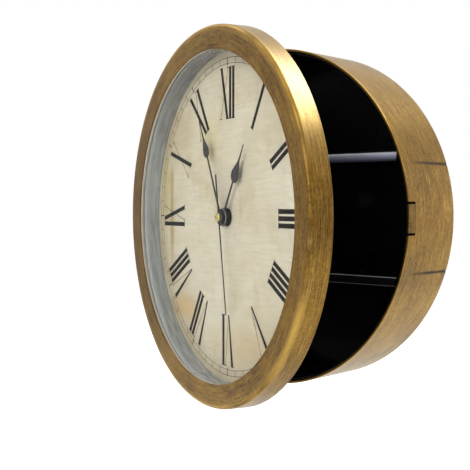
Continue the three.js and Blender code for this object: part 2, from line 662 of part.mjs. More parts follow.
function intermediateWheel() {
  const at = places.intermediate;
  const towardsSeconds = opposite(bearing.intermediate);
  const large = wheel(teeth.intermediateWheel, modules.rotor, true, bearing.rotor, layers.intermediate, at);
  const pinion = wheel(
    teeth.intermediatePinion, modules.intermediate, false, towardsSeconds, layers.seconds, at,
  );
  return joined([large, pinion, bar(arbor.plainRadius, platePivot, backPivot, at, screwSides)]);
}

function secondsWheel() {
  const at = places.centre;
  const large = wheel(
    teeth.secondsWheel, modules.intermediate, true, bearing.intermediate, layers.seconds, at,
  );
  const pinion = wheel(teeth.secondsPinion, modules.seconds, false, bearing.third, layers.third, at);
  return joined([large, pinion, bar(arbor.secondsRadius, secondsArborFront, backPivot, at, screwSides)]);
}

function thirdWheel() {
  const at = places.third;
  const large = wheel(teeth.thirdWheel, modules.seconds, true, opposite(bearing.third), layers.third, at);
  const pinion = wheel(teeth.thirdPinion, modules.third, false, opposite(bearing.third), layers.minute, at);
  return joined([large, pinion, bar(arbor.plainRadius, frontPivot, backPivot, at, screwSides)]);
}

function minuteWheel() {
  const at = places.centre;
  const back = layerBack(layers.minute);
  const large = wheel(teeth.minuteWheel, modules.third, true, bearing.third, layers.minute, at);
  const pinion = wheel(teeth.minutePinion, modules.minute, true, bearing.motion, layers.motion, at);
  const tube = bar(minuteTube.radius, minuteTubeFront, back);
  const bore = bar(minuteTube.bore, minuteTubeFront - overrun, back + overrun);
  return joined([large, pinion, tube]).subtract(bore);
}

function motionWheel() {
  const at = places.motion;
  const large = wheel(teeth.motionWheel, modules.minute, false, opposite(bearing.motion), layers.motion, at);
  const pinion = wheel(teeth.motionPinion, modules.motion, false, opposite(bearing.motion), layers.hour, at);
  const knobMiddle = movementBack + clearance + knob.thickness / 2;
  return joined([large, pinion, bar(arbor.motionRadius, frontPivot, knobMiddle, at, screwSides)]);
}

function hourWheel() {
  const back = layerBack(layers.hour);
  const large = wheel(teeth.hourWheel, modules.motion, true, bearing.motion, layers.hour, places.centre);
  const tube = bar(hourTube.radius, hourTubeFront, back);
  const bore = bar(hourTube.bore, hourTubeFront - overrun, back + overrun);
  return joined([large, tube]).subtract(bore);
}

function settingKnob() {
  const points = Array.from({ length: 2 * knob.ribs }, (_, i) => {
    const radius = knob.radius - (i % 2) * knob.ribDepth;
    return new THREE.Vector2(...polar(radius, (i * fullTurn) / (2 * knob.ribs)));
  });
  const [x, z] = places.motion;
  const front = movementBack + clearance;
  const boreEnd = front + knob.thickness / 2 + clearance;
  const body = plate(new THREE.Shape(points), front, front + knob.thickness).translate([x, 0, z]);
  const boreRadius = arbor.motionRadius + clearance;
  return body.subtract(bar(boreRadius, front - overrun, boreEnd, places.motion, screwSides));
}

const postReach = halfInside - movement.postInset - movement.postRadius;
const postPlaces = [-1, 1].flatMap((side) => [
  [side * postReach, postReach],
  [side * postReach, bayTop + movement.wall + movement.postInset + movement.postRadius],
]);

function movementCase() {
  const outline = roundedRectangle([-half, half], [-half, half], movement.corner);
  const outside = plate(outline, movementFront, movementBack, curveSteps.corner);
  const width = [-halfInside, halfInside];
  const depth = [movementInner, movementBack + overrun];
  const room = block(width, depth, [bayTop + movement.wall, halfInside]);
  const bay = block(width, depth, [-halfInside, bayTop]);
  const insideFloor = movementInner - movement.wall / 2;
  const postEnd = layerFront(layers.plate) - clearance;
  const posts = postPlaces.map((at) => bar(movement.postRadius, insideFloor, postEnd, at, screwSides));
  const tube = bar(neck.radius, neckFront, insideFloor);
  const bore = bar(neck.bore, neckFront - overrun, movementInner + overrun);
  return joined([without(outside, [room, bay]), ...posts, tube]).subtract(bore);
}

function movementCover() {
  const reach = halfInside - clearance;
  const bottom = bayTop + movement.wall + clearance;
  const sheet = block([-reach, reach], [movementCoverFront, movementBack], [bottom, reach]);
  const postFront = layerBack(layers.plate) + clearance;
  const postBack = movementBack - movement.coverPlate / 2;
  const inside = block([-reach, reach], [movementFront, movementBack], [bottom, reach]);
  const posts = postPlaces.map((at) => (
    bar(movement.postRadius, postFront, postBack, at, screwSides).intersect(inside)
  ));
  const holeRadius = arbor.motionRadius + clearance;
  const knobHole = bar(holeRadius, postBack - overrun, movementBack + overrun, places.motion);
  return joined([sheet, ...posts]).subtract(knobHole);
}

function middlePlate() {
  const reach = halfInside - clearance;
  const [front, back] = [layerFront(layers.plate), layerBack(layers.plate)];
  const sheet = block([-reach, reach], [front, back], [bayTop + movement.wall + clearance, reach]);
  const hole = (radius, at) => bar(radius + clearance, front - overrun, back + overrun, at, screwSides);
  const holes = [
    hole(arbor.secondsRadius, places.centre),
    hole(arbor.plainRadius, places.third),
    hole(arbor.motionRadius, places.motion),
  ];
  return without(sheet, holes);
}

function hexNut() {
  const outer = bar(nut.radius, nutFront, nutFront + nut.thickness, places.centre, nutSides);
  return outer.subtract(bar(neck.radius + clearance, nutFront - overrun, washerFront + overrun));
}

function dialWasher() {
  const washerBack = washerFront + nut.washerThickness;
  const outer = bar(nut.washerRadius, washerFront, washerBack, places.centre, discSides);
  return outer.subtract(bar(neck.radius + clearance, washerFront - overrun, washerBack + overrun));
}

const electricsFront = layerBack(layers.plate) + clearance;
const coreX = postReach - movement.postRadius - clearance - coil.flangeReach - coil.width / 2;
const coilTop = halfInside - clearance - stator.bar - clearance;
const coilBottom = coilTop - coil.length;
const statorFront = electricsFront + coil.depth / 2 + coil.flangeReach - stator.thickness / 2;

function statorFrame() {
  const [rotorX, rotorZ] = places.rotor;
  const poleRadius = rotor.magnetRadius + stator.poleGap + stator.arm;
  const y = [statorFront, statorFront + stator.thickness];
  const pole = bar(poleRadius, ...y, places.rotor, discSides);
  const armRight = coreX + stator.core / 2;
  const lower = block([rotorX, armRight], y, [rotorZ - stator.arm / 2, coilBottom - clearance]);
  const core = block([coreX - stator.core / 2, armRight], y, [rotorZ, coilTop + clearance + stator.bar]);
  const upperBottom = coilTop + clearance;
  const upper = block([rotorX - stator.arm, armRight], y, [upperBottom, upperBottom + stator.bar]);
  const through = [y[0] - overrun, y[1] + overrun];
  const hole = bar(rotor.magnetRadius + stator.poleGap, ...through, places.rotor, discSides);
  const pinionTip = modules.intermediate * (teeth.intermediatePinion / 2 + toothForm.addendumShare);
  const relief = bar(pinionTip + stator.poleGap, ...through, places.intermediate);
  return without(joined([pole, lower, core, upper]), [hole, relief]);
}

function coilBobbin() {
  const middleY = statorFront + stator.thickness / 2;
  const side = (reach) => [coreX - reach, coreX + reach];
  const deep = (reach) => [middleY - reach, middleY + reach];
  const winding = block(side(coil.width / 2), deep(coil.depth / 2), [coilBottom, coilTop]);
  const flangeWidth = side(coil.width / 2 + coil.flangeReach);
  const flangeDepth = deep(coil.depth / 2 + coil.flangeReach);
  const flanges = [coilBottom, coilTop - coil.flange].map((z) => (
    block(flangeWidth, flangeDepth, [z, z + coil.flange])
  ));
  const room = block(side(stator.core / 2 + clearance), deep(stator.thickness / 2 + clearance),
    [coilBottom - overrun, coilTop + overrun]);
  return joined([winding, ...flanges]).subtract(room);
}

const boardLeft = -postReach + movement.postRadius + clearance;
const boardTop = halfInside - clearance - clearance;
const boardBack = electricsFront + board.thickness;

function circuitBoard() {
  const width = [boardLeft, boardLeft + board.width];
  return block(width, [electricsFront, boardBack], [boardTop - board.height, boardTop]);
}

function quartzCrystal() {
  const left = boardLeft + (board.width - crystal.length) / 2;
  const y = boardBack + clearance + crystal.radius;
  return crossBar(crystal.radius, left, left + crystal.length, y, boardTop - board.height / 2, screwSides);
}

const batteryY = movementInner + clearance + battery.radius;
const batteryZ = -halfInside + clearance + battery.radius;
const contactInner = halfInside - clearance - contact.thickness;

function batteryCell() {
  const left = -contactInner + contact.springReach + clearance;
  const right = contactInner - battery.endGap - battery.nubLength;
  const body = crossBar(battery.radius, left, right, batteryY, batteryZ, discSides);
  const nub = crossBar(battery.nubRadius, right - overrun, right + battery.nubLength, batteryY, batteryZ);
  return body.add(nub);
}

function contactPlate(side) {
  const inner = side * contactInner;
  const outer = side * (contactInner + contact.thickness);
  const x = [Math.min(inner, outer), Math.max(inner, outer)];
  const across = (middle) => [middle - contact.halfHeight, middle + contact.halfHeight];
  const sheet = block(x, across(batteryY), across(batteryZ));
  const reach = side > 0 ? battery.endGap - clearance : contact.springReach;
  const tip = side * (contactInner - reach);
  const bump = crossBar(battery.nubRadius, Math.min(tip, inner), Math.max(tip, inner), batteryY, batteryZ);
  return sheet.add(bump);
}

// Hands

// A hand that points up: a stalk, a drop-shaped bulb and a long tip, half of it mirrored.
function leafHandShape(sizes, [bulbStart, bulbWidest, bulbEnd]) {
  const along = (share) => sizes.length * share;
  const waistAt = along((bulbWidest + bulbEnd) / 2);
  const stalk = hand.stalkWidth / 2;
  const neckHalf = hand.neckWidth / 2;
  const bulb = sizes.bulbWidth / 2;
  const waist = bulb * bulbShares.waist;
  const tip = hand.tipWidth / 2;
  const shape = new THREE.Shape();
  shape.moveTo(stalk, 0).lineTo(neckHalf, along(bulbStart));
  shape.quadraticCurveTo(bulb, along(bulbStart), bulb, along(bulbWidest));
  shape.quadraticCurveTo(waist, waistAt, neckHalf, along(bulbEnd));
  shape.lineTo(tip, sizes.length).lineTo(-tip, sizes.length).lineTo(-neckHalf, along(bulbEnd));
  shape.quadraticCurveTo(-waist, waistAt, -bulb, along(bulbWidest));
  shape.quadraticCurveTo(-bulb, along(bulbStart), -neckHalf, along(bulbStart));
  shape.lineTo(-stalk, 0);
  return shape;
}

function leafHand(sizes, shares, front, bore) {
  const blade = plate(leafHandShape(sizes, shares), front, front + hand.thickness);
  const hub = bar(sizes.hubRadius, front, front + hand.thickness, places.centre, discSides);
  return blade.add(hub).subtract(bar(bore, front - overrun, front + overrun));
}

function needleHand() {
  const shape = new THREE.Shape();
  const [root, tip] = [secondHand.width / 2, secondHand.tipWidth / 2];
  shape.moveTo(root, -secondHand.tail).lineTo(root, 0).lineTo(tip, secondHand.length);
  shape.lineTo(-tip, secondHand.length).lineTo(-root, 0).lineTo(-root, -secondHand.tail);
  const blade = plate(shape, secondHandFront, secondHandBack);
  const hub = bar(secondHand.hubRadius, secondHandFront, secondHandBack);
  const through = [secondHandFront - overrun, secondHandBack + overrun];
  const bore = bar(arbor.secondsRadius + clearance, ...through, places.centre, screwSides);
  return blade.add(hub).subtract(bore);
}

function handCap() {
  const rim = cap.height * capShares.rim;
  const dome = turned([
    [0, capBack],
    [cap.radius, capBack],
    [cap.radius, capBack - rim],
    [cap.radius * capShares.shoulderRadius, capFront + rim / 2],
    [cap.radius * capShares.topRadius, capFront],
    [0, capFront],
  ], tubeSides);
  const bore = [capBack - cap.boreDepth, capBack + overrun];
  return dome.subtract(bar(arbor.secondsRadius + clearance, ...bore, places.centre, screwSides));
}

// Assembly

const clockSafe = new THREE.Group();

piece('case_shell', caseShell(), 'gold', clockSafe);
piece('case_liner', caseLiner(), 'black', clockSafe);
linerScrewPlaces.forEach((at, i) => piece(`liner_screw_${i + 1}`, linerScrewSolid(at), 'steel', clockSafe));
piece('upper_shelf', shelfPlate(shelf.height), 'black', clockSafe);
piece('lower_shelf', shelfPlate(-shelf.height), 'black', clockSafe);
piece('latch_tongue', latchTongue(), 'gold', clockSafe);
piece('case_hinge_leaf', caseHingeLeaf(), 'steel', clockSafe);
piece('hinge_pin', hingePin(), 'steel', clockSafe);
caseHingeScrewHeights.forEach((z, i) => {
  piece(`case_hinge_screw_${i + 1}`, caseHingeScrewSolid(z), 'steel', clockSafe);
});

// The swing group turns about the pin, and the door's own frame lies in it.
const swing = new THREE.Group();
swing.position.set(hingeX, hingeY, 0);
swing.rotation.z = -door.ajarDegrees * degree;
clockSafe.add(swing);
const doorFrame = new THREE.Group();
doorFrame.position.set(-hingeX, -hingeDoorY, 0);
swing.add(doorFrame);

piece('bezel_ring', bezelRing(), 'gold', doorFrame);
piece('front_glass', bar(paneRadius, paneFront, paneBack, places.centre, ringSides), 'glass', doorFrame);
piece('spacer_ring', spacerRing(), 'paleGrey', doorFrame);
const dialDisc = bar(dialRadius, dialFront, dialBack, places.centre, ringSides);
const dialHole = bar(neck.radius + clearance, dialFront - overrun, dialBack + overrun);
piece('dial_plate', dialDisc.subtract(dialHole), 'parchment', doorFrame);
piece('rear_cover', rearCover(), 'black', doorFrame);
coverScrewPlaces.forEach((at, i) => {
  const screw = screwSolid(coverScrew, clearance, clearance - coverScrew.length, at);
  piece(`rear_cover_screw_${i + 1}`, screw, 'steel', doorFrame);
});
piece('door_hinge_leaf', doorHingeLeaf(), 'steel', doorFrame);
doorHingeScrewPlaces.forEach((at, i) => {
  const headFront = leafBackY + clearance;
  const screw = screwSolid(doorHingeScrew, headFront, headFront - doorHingeScrew.length, at);
  piece(`door_hinge_screw_${i + 1}`, screw, 'steel', doorFrame);
});

piece('movement_case', movementCase(), 'black', doorFrame);
piece('movement_cover', movementCover(), 'black', doorFrame);
piece('middle_plate', middlePlate(), 'whitePlastic', doorFrame);
piece('dial_washer', dialWasher(), 'steel', doorFrame);
piece('movement_nut', hexNut(), 'steel', doorFrame);
piece('circuit_board', circuitBoard(), 'circuitGreen', doorFrame);
piece('quartz_crystal', quartzCrystal(), 'steel', doorFrame);
piece('stator', statorFrame(), 'steel', doorFrame);
piece('coil', coilBobbin(), 'copper', doorFrame);
piece('battery', batteryCell(), 'cellSleeve', doorFrame);
piece('contact_positive', contactPlate(1), 'steel', doorFrame);
piece('contact_negative', contactPlate(-1), 'steel', doorFrame);

piece('rotor', rotorSolid(), 'whitePlastic', doorFrame);
piece('intermediate_wheel', intermediateWheel(), 'whitePlastic', doorFrame);
piece('seconds_wheel', secondsWheel(), 'whitePlastic', doorFrame);
piece('third_wheel', thirdWheel(), 'whitePlastic', doorFrame);
piece('minute_wheel', minuteWheel(), 'whitePlastic', doorFrame);
piece('motion_wheel', motionWheel(), 'whitePlastic', doorFrame);
piece('setting_knob', settingKnob(), 'whitePlastic', doorFrame);
piece('hour_wheel', hourWheel(), 'whitePlastic', doorFrame);

const hourBlade = leafHand(hourHand, bulbShares.hour, hourHandFront, hourTube.radius + clearance);
const minuteBlade = leafHand(minuteHand, bulbShares.minute, minuteHandFront, minuteTube.radius + clearance);
piece('hour_hand', hourBlade, 'handBlack', doorFrame).rotation.y = hourHand.degrees * degree;
piece('minute_hand', minuteBlade, 'handBlack', doorFrame).rotation.y = minuteHand.degrees * degree;
piece('second_hand', needleHand(), 'handBlack', doorFrame).rotation.y = secondHand.degrees * degree;
piece('second_hand_cap', handCap(), 'brass', doorFrame);

export default clockSafe;
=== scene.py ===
# %% [markdown]
# A round wall clock whose front is a door, with a shallow safe behind it. The construction is
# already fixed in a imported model, so every size and place here starts from that frame. This
# file gives each piece its fine surface and its finish. Lengths are in millimetres until a
# mesh is made, and the scene itself is in metres.

# %% Load the fixed frame
import json
import math

import bmesh
import bpy
import numpy as np
from mathutils import Matrix, Vector


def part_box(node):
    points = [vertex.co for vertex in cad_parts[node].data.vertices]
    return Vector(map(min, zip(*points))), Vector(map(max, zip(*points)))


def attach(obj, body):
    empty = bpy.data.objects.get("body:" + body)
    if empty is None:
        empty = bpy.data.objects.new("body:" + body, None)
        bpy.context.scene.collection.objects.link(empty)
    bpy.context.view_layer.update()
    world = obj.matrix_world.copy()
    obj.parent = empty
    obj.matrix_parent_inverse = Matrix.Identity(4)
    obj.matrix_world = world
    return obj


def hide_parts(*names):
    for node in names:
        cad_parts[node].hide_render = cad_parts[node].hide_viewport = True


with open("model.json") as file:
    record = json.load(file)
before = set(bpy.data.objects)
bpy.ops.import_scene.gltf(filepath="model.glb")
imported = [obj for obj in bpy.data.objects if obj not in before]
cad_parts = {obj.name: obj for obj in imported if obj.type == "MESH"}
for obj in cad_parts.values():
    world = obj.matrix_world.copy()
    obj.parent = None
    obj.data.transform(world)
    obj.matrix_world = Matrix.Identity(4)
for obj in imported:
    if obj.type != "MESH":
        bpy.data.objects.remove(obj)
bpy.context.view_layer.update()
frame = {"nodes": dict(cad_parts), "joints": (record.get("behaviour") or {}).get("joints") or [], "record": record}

MM = 0.001

# %% [markdown]
# The door stands ajar, so its pieces are easiest to describe in the door's own frame: x to the
# right, y into the door and z up, with the origin in the middle of the bezel's back edge. The
# clock's arbors are square to the door, so the axis of their joint gives the door's direction,
# and the bezel's own corners give its middle.

# %% Find the door's own frame
joints = {joint["name"]: joint for joint in frame["joints"]}
door_into = np.array(joints["seconds_turn"]["axis"])
door_across = np.array([door_into[1], -door_into[0], 0.0])
door_axes = np.stack([door_across, door_into, [0.0, 0.0, 1.0]])


def corners_of(node):
    """The points of a CAD node in the row frame, in millimetres, one row each."""
    mesh = frame["nodes"][node].data
    flat = np.empty(len(mesh.vertices) * 3, np.float32)
    mesh.vertices.foreach_get("co", flat)
    return flat.reshape(-1, 3).astype(float) / MM


bezel_points = corners_of("bezel_ring") @ door_axes.T
low, high = bezel_points.min(0), bezel_points.max(0)
door_origin = np.array([(low[0] + high[0]) / 2, high[1], (low[2] + high[2]) / 2]) @ door_axes


def door_box(node):
    """Lowest and highest corner of a node in the door's frame, in millimetres."""
    local = (corners_of(node) - door_origin) @ door_axes.T
    return local.min(0), local.max(0)


def case_box(node):
    """Lowest and highest corner of a node in the row frame, in millimetres."""
    return tuple(np.array(corner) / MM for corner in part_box(node))


door_turn = math.atan2(door_into[0], door_into[1])
DOOR_RADIUS = (high[0] - low[0]) / 2
DOOR_FRONT = low[1] - high[1]
print("door stands open by", round(math.degrees(door_turn), 2), "degrees from square")

# %% [markdown]
# The camera comes next, because every later choice is judged through it. It stands in front of
# the clock's right-hand side, a little above the middle, close enough for the far side of the
# rim to look smaller. Its place is given by angles round the middle of the case's rim.

# %% Camera
PHOTO_WIDTH = 470
FOCAL_PIXELS = 993.0
SENSOR_WIDTH = 36.0
CAMERA_AZIMUTH = math.radians(44.32)
CAMERA_ELEVATION = math.radians(1.85)
CAMERA_ROLL = math.radians(0.03)
CAMERA_DISTANCE = 690.0
CAMERA_ASIDE = (-24.29, -12.62)
rim_front = case_box("case_shell")[0][1]


def linked(name, data):
    """A new object with its data, linked to the scene."""
    made = bpy.data.objects.new(name, data)
    bpy.context.scene.collection.objects.link(made)
    return made


def add_camera():
    """A camera on a sphere round the rim's middle, rolled and moved aside in its own picture."""
    az, el = CAMERA_AZIMUTH, CAMERA_ELEVATION
    back = np.array([math.sin(az) * math.cos(el), -math.cos(az) * math.cos(el), math.sin(el)])
    right = np.cross([0.0, 0.0, 1.0], back)
    right /= np.linalg.norm(right)
    up = np.cross(back, right)
    c, s = math.cos(CAMERA_ROLL), math.sin(CAMERA_ROLL)
    right, up = c * right + s * up, -s * right + c * up
    place = np.array([0.0, rim_front, 0.0]) + back * CAMERA_DISTANCE
    place = place + right * CAMERA_ASIDE[0] + up * CAMERA_ASIDE[1]
    data = bpy.data.cameras.new("camera")
    data.sensor_width = SENSOR_WIDTH
    data.lens = FOCAL_PIXELS / PHOTO_WIDTH * SENSOR_WIDTH
    camera = linked("camera", data)
    matrix = Matrix([[right[i], up[i], back[i], place[i] * MM] for i in range(3)] + [[0, 0, 0, 1]])
    camera.matrix_world = matrix
    bpy.context.scene.camera = camera
    return camera


camera = add_camera()
print("camera at", [round(v, 3) for v in camera.location], "lens", round(camera.data.lens, 1))

# %% [markdown]
# Most pieces of a clock case are rounds: an outline carried round an axis. An outline is drawn
# with a few corners, and each corner gets a true radius, because moulded and turned edges are
# never sharp and it is the small rounds that catch the light.

# %% Helpers for outlines
ROUND_STEPS = 6
RING_STEPS = 240
LEAST_RADIUS = 1e-4


def rounded(corners, radii, steps=ROUND_STEPS):
    """A closed outline whose corners are replaced by arcs.

    Each arc touches both sides at radius / tan(half the corner's angle) from the corner, and
    its points turn evenly round a centre on the corner's bisector.
    """
    corners = np.array(corners, float)
    radii = np.maximum(np.broadcast_to(np.array(radii, float), len(corners)), LEAST_RADIUS)[:, None]
    before = np.roll(corners, 1, 0) - corners
    after = np.roll(corners, -1, 0) - corners
    before /= np.linalg.norm(before, axis=1, keepdims=True)
    after /= np.linalg.norm(after, axis=1, keepdims=True)
    half = np.arccos(np.clip((before * after).sum(1), -1, 1))[:, None] / 2
    bisector = before + after
    bisector /= np.linalg.norm(bisector, axis=1, keepdims=True)
    centre = corners + bisector * radii / np.sin(half)
    first = corners + before * radii / np.tan(half) - centre
    last = corners + after * radii / np.tan(half) - centre
    turn = np.pi - 2 * half
    share = np.linspace(0, 1, steps + 1)[None, :, None]
    angle = turn[:, :, None]
    arc = np.sin((1 - share) * angle) * first[:, None] + np.sin(share * angle) * last[:, None]
    return (centre[:, None] + arc / np.sin(angle)).reshape(-1, 2)


def rectangle(left, right, start, end):
    """The four corners of a rectangle, going round it once."""
    return [(left, start), (right, start), (right, end), (left, end)]


def grid_faces(rows, columns, wrap_rows=True, wrap_columns=True):
    """Quads between neighbours in a grid of points; a wrapped direction joins end to start."""
    i, j = np.meshgrid(np.arange(rows if wrap_rows else rows - 1),
                       np.arange(columns if wrap_columns else columns - 1), indexing="ij")
    below, beside = (i + 1) % rows, (j + 1) % columns
    quads = [i * columns + j, below * columns + j, below * columns + beside, i * columns + beside]
    return np.stack(quads, -1).reshape(-1, 4)


flat = round(math.tau * DOOR_RADIUS / RING_STEPS, 2)
print("a ring has", RING_STEPS, "steps, so the flats on the widest are", flat, "mm long")

# %% [markdown]
# A mesh goes into the scene in one way only: its points are turned from the door's frame where
# it needs that, doubles at poles and seams are merged, its normals are made to point outwards,
# and its object stays at the origin. Smooth shading stops at edges sharper than the limit. Holes
# and joins are made with the Boolean modifier, whose exact solver can leave points that all but
# touch and slits between them, so every cut is healed before the next one.

# %% Helpers that put a mesh into the scene
SHARP_ANGLE = math.radians(40)
WELD = 1e-7
HEAL_DISTANCE = 3e-7
SLIT_SIDES = 8
FACE_WEIGHT = 100
body_of_node = {node: body for body, nodes in frame["record"]["behaviour"]["bodies"].items()
                for node in nodes}


def to_row_frame(points, on_door):
    """Points in millimetres turned and moved from the door's frame, where they lie on the door."""
    points = np.array(points, float)
    return points @ door_axes + door_origin if on_door else points


def clean_mesh(mesh):
    """Merges doubles, drops faces without area and turns the faces outwards."""
    work = bmesh.new()
    work.from_mesh(mesh)
    bmesh.ops.remove_doubles(work, verts=work.verts, dist=WELD)
    bmesh.ops.dissolve_degenerate(work, edges=work.edges, dist=WELD)
    bmesh.ops.recalc_face_normals(work, faces=work.faces)
    work.to_mesh(mesh)
    work.free()
    mesh.polygons.foreach_set("use_smooth", np.ones(len(mesh.polygons), bool))
    mesh.set_sharp_from_angle(angle=SHARP_ANGLE)


def mesh_object(name, points, faces, on_door=False):
    """A linked mesh object in metres, from points in millimetres and faces of any size."""
    mesh = bpy.data.meshes.new(name)
    place = to_row_frame(points, on_door) * MM
    mesh.from_pydata(place.tolist(), [], [list(face) for face in faces])
    clean_mesh(mesh)
    return linked(name, mesh)


def joined(name, pieces):
    """One object that holds the meshes of several."""
    work = bmesh.new()
    for piece in pieces:
        work.from_mesh(piece.data)
        bpy.data.objects.remove(piece)
    mesh = bpy.data.meshes.new(name)
    work.to_mesh(mesh)
    work.free()
    mesh.set_sharp_from_angle(angle=SHARP_ANGLE)
    return linked(name, mesh)


def heal(mesh):
    """Merges points that lie together after a cut, and fills the slits that this leaves."""
    work = bmesh.new()
    work.from_mesh(mesh)
    bmesh.ops.remove_doubles(work, verts=work.verts, dist=HEAL_DISTANCE)
    slits = [edge for edge in work.edges if edge.is_boundary]
    bmesh.ops.holes_fill(work, edges=slits, sides=SLIT_SIDES)
    work.to_mesh(mesh)
    work.free()


def modified(piece, kind, **settings):
    """Replaces a piece's mesh by what one modifier with these settings makes of it."""
    modifier = piece.modifiers.new(kind, kind)
    for key, value in settings.items():
        setattr(modifier, key, value)
    view = bpy.context.evaluated_depsgraph_get()
    made = bpy.data.meshes.new_from_object(piece.evaluated_get(view))
    piece.modifiers.clear()
    piece.data = made


def cut(piece, tool, operation="DIFFERENCE"):
    """Cuts a piece with another, or joins or keeps what they share, and removes the other."""
    modified(piece, "BOOLEAN", operation=operation, solver="EXACT", object=tool)
    bpy.data.objects.remove(tool)
    heal(piece.data)
    piece.data.set_sharp_from_angle(angle=SHARP_ANGLE)
    return piece


def softened(piece, width, segments=3):
    """Rounds a piece's sharp edges over a width in millimetres."""
    modified(piece, "BEVEL", width=width * MM, segments=segments, limit_method="ANGLE",
             angle_limit=SHARP_ANGLE)
    piece.data.polygons.foreach_set("use_smooth", np.ones(len(piece.data.polygons), bool))
    piece.data.set_sharp_from_angle(angle=SHARP_ANGLE)
    return piece


def flats_kept_flat(piece):
    """Weights each corner's normal by face area, so that a flat beside a round shades flat."""
    modified(piece, "WEIGHTED_NORMAL", keep_sharp=True, weight=FACE_WEIGHT)


def added(piece, material, node, *replaced):
    """Gives a piece its finish and lets it move with a node, and stand for those it replaces."""
    flats_kept_flat(piece)
    piece.data.materials.clear()
    piece.data.materials.append(material)
    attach(piece, body_of_node[node])
    if replaced:
        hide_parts(*replaced)
    return piece


def dressed(piece, material, node):
    """Gives a piece its finish, and lets it stand for a CAD node and move with its body."""
    return added(piece, material, node, node)


# %% [markdown]
# A few kinds of solid cover nearly everything here: a ring carried about the axis, part of such
# a ring, a flat plate from an outline, a block, and a round that is turned about any axis.

# %% Helpers that make solids
def carried(outline, turn, axis=1, centre=(0.0, 0.0, 0.0)):
    """The points of an outline of (radius, along) carried about an axis, one row for each angle.

    The point at angle t is centre + radius cos t and radius sin t in the two other directions,
    and centre + along on the axis.
    """
    outline, turn = np.array(outline, float), np.array(turn)[:, None]
    others = [k for k in range(3) if k != axis]
    points = np.empty((len(turn), len(outline), 3))
    points[..., others[0]] = centre[others[0]] + outline[:, 0] * np.cos(turn)
    points[..., others[1]] = centre[others[1]] + outline[:, 0] * np.sin(turn)
    points[..., axis] = centre[axis] + outline[:, 1]
    return points


def ring(name, outline, on_door=False, steps=RING_STEPS, axis=1, centre=(0.0, 0.0, 0.0)):
    """A closed outline of (radius, along) carried all the way round an axis."""
    points = carried(outline, np.linspace(0, math.tau, steps, endpoint=False), axis, centre)
    return mesh_object(name, points.reshape(-1, 3), grid_faces(steps, len(outline)), on_door)


def ring_part(name, outline, start, end, steps=24):
    """Part of a ring about the Y axis between two angles, closed by a face at each end."""
    points = carried(outline, np.linspace(start, end, steps))
    count = len(outline)
    faces = [list(quad) for quad in grid_faces(steps, count, wrap_rows=False)]
    faces += [list(range(count)), list(range((steps - 1) * count, steps * count))[::-1]]
    return mesh_object(name, points.reshape(-1, 3), faces)


def plate(name, outline, low, high, on_door=False, axis=1):
    """A flat outline given thickness along an axis: 0 for x, 1 for y, 2 for z."""
    outline = np.array(outline, float)
    count = len(outline)
    points = np.empty((2, count, 3))
    others = [k for k in range(3) if k != axis]
    points[..., others] = outline
    points[0, :, axis], points[1, :, axis] = low, high
    faces = [list(quad) for quad in grid_faces(2, count, wrap_rows=False)]
    faces += [list(range(count)), list(range(count, 2 * count))[::-1]]
    return mesh_object(name, points.reshape(-1, 3), faces, on_door)


def block(name, low, high, on_door=False):
    """A block between two corners."""
    return plate(name, rectangle(low[0], high[0], low[2], high[2]), low[1], high[1], on_door)


def turned(name, outline, axis, centre, on_door=False, steps=48):
    """An outline of (radius, along) that starts and ends on its axis, turned about that axis.

    Each end on the axis is one point, which its neighbours meet in a fan.
    """
    outline = np.array(outline, float)
    between = outline[1:-1]
    points = carried(between, np.linspace(0, math.tau, steps, endpoint=False), axis, centre)
    ends = np.tile(np.array(centre, float), (2, 1))
    ends[:, axis] += outline[[0, -1], 1]
    count, total = len(between), steps * len(between)
    at = np.arange(steps) * count
    beside = np.roll(at, -1)
    fans = [np.stack([at, beside, np.full(steps, total)], -1),
            np.stack([at + count - 1, beside + count - 1, np.full(steps, total + 1)], -1)]
    faces = [*grid_faces(steps, count, wrap_columns=False), *fans[0], *fans[1]]
    return mesh_object(name, np.concatenate([points.reshape(-1, 3), ends]), faces, on_door)


def rod(name, radius, start, end, x=0.0, z=0.0, on_door=False, steps=48):
    """A plain cylinder along Y, for a boss, or as the tool that cuts a bore."""
    return turned(name, rectangle(0, radius, start, end), 1, (x, 0, z), on_door, steps)


def half_outline(corners, radii, steps=ROUND_STEPS):
    """A rounded outline for turned: its first and last corners lie on the axis and stay sharp."""
    arcs = rounded(corners, radii, steps)[steps + 1:-(steps + 1)]
    return np.concatenate([[corners[0]], arcs, [corners[-1]]])


print("helpers for solids ready")

# %% [markdown]
# A finish is built from a few kinds of node: noise in the object's own coordinates, ramps that
# turn it into colour or roughness, and a bump. Because every mesh keeps its place in its points,
# Object coordinates are the model's own metres, and on the door they are turned back by the
# angle at which it stands open, so that brushing runs true round the rim.

# %% Helpers for materials
def linear(colour):
    """A colour written as 0 to 255 per channel, changed to the linear values that nodes take."""
    share = np.array(colour, float) / 255
    low, high = share / 12.92, ((share + 0.055) / 1.055) ** 2.4
    return (*np.where(share <= 0.04045, low, high).tolist(), 1.0)


def about(colour, spread):
    """A darker and a lighter colour on both sides of one, by a spread per channel."""
    base = np.array(colour, float)
    return np.clip(base - spread, 0, 255), np.clip(base + spread, 0, 255)


# Which sockets of a Mix node carry its two colours and the blend.
MIX_FIRST, MIX_SECOND, MIX_RESULT = 6, 7, 2


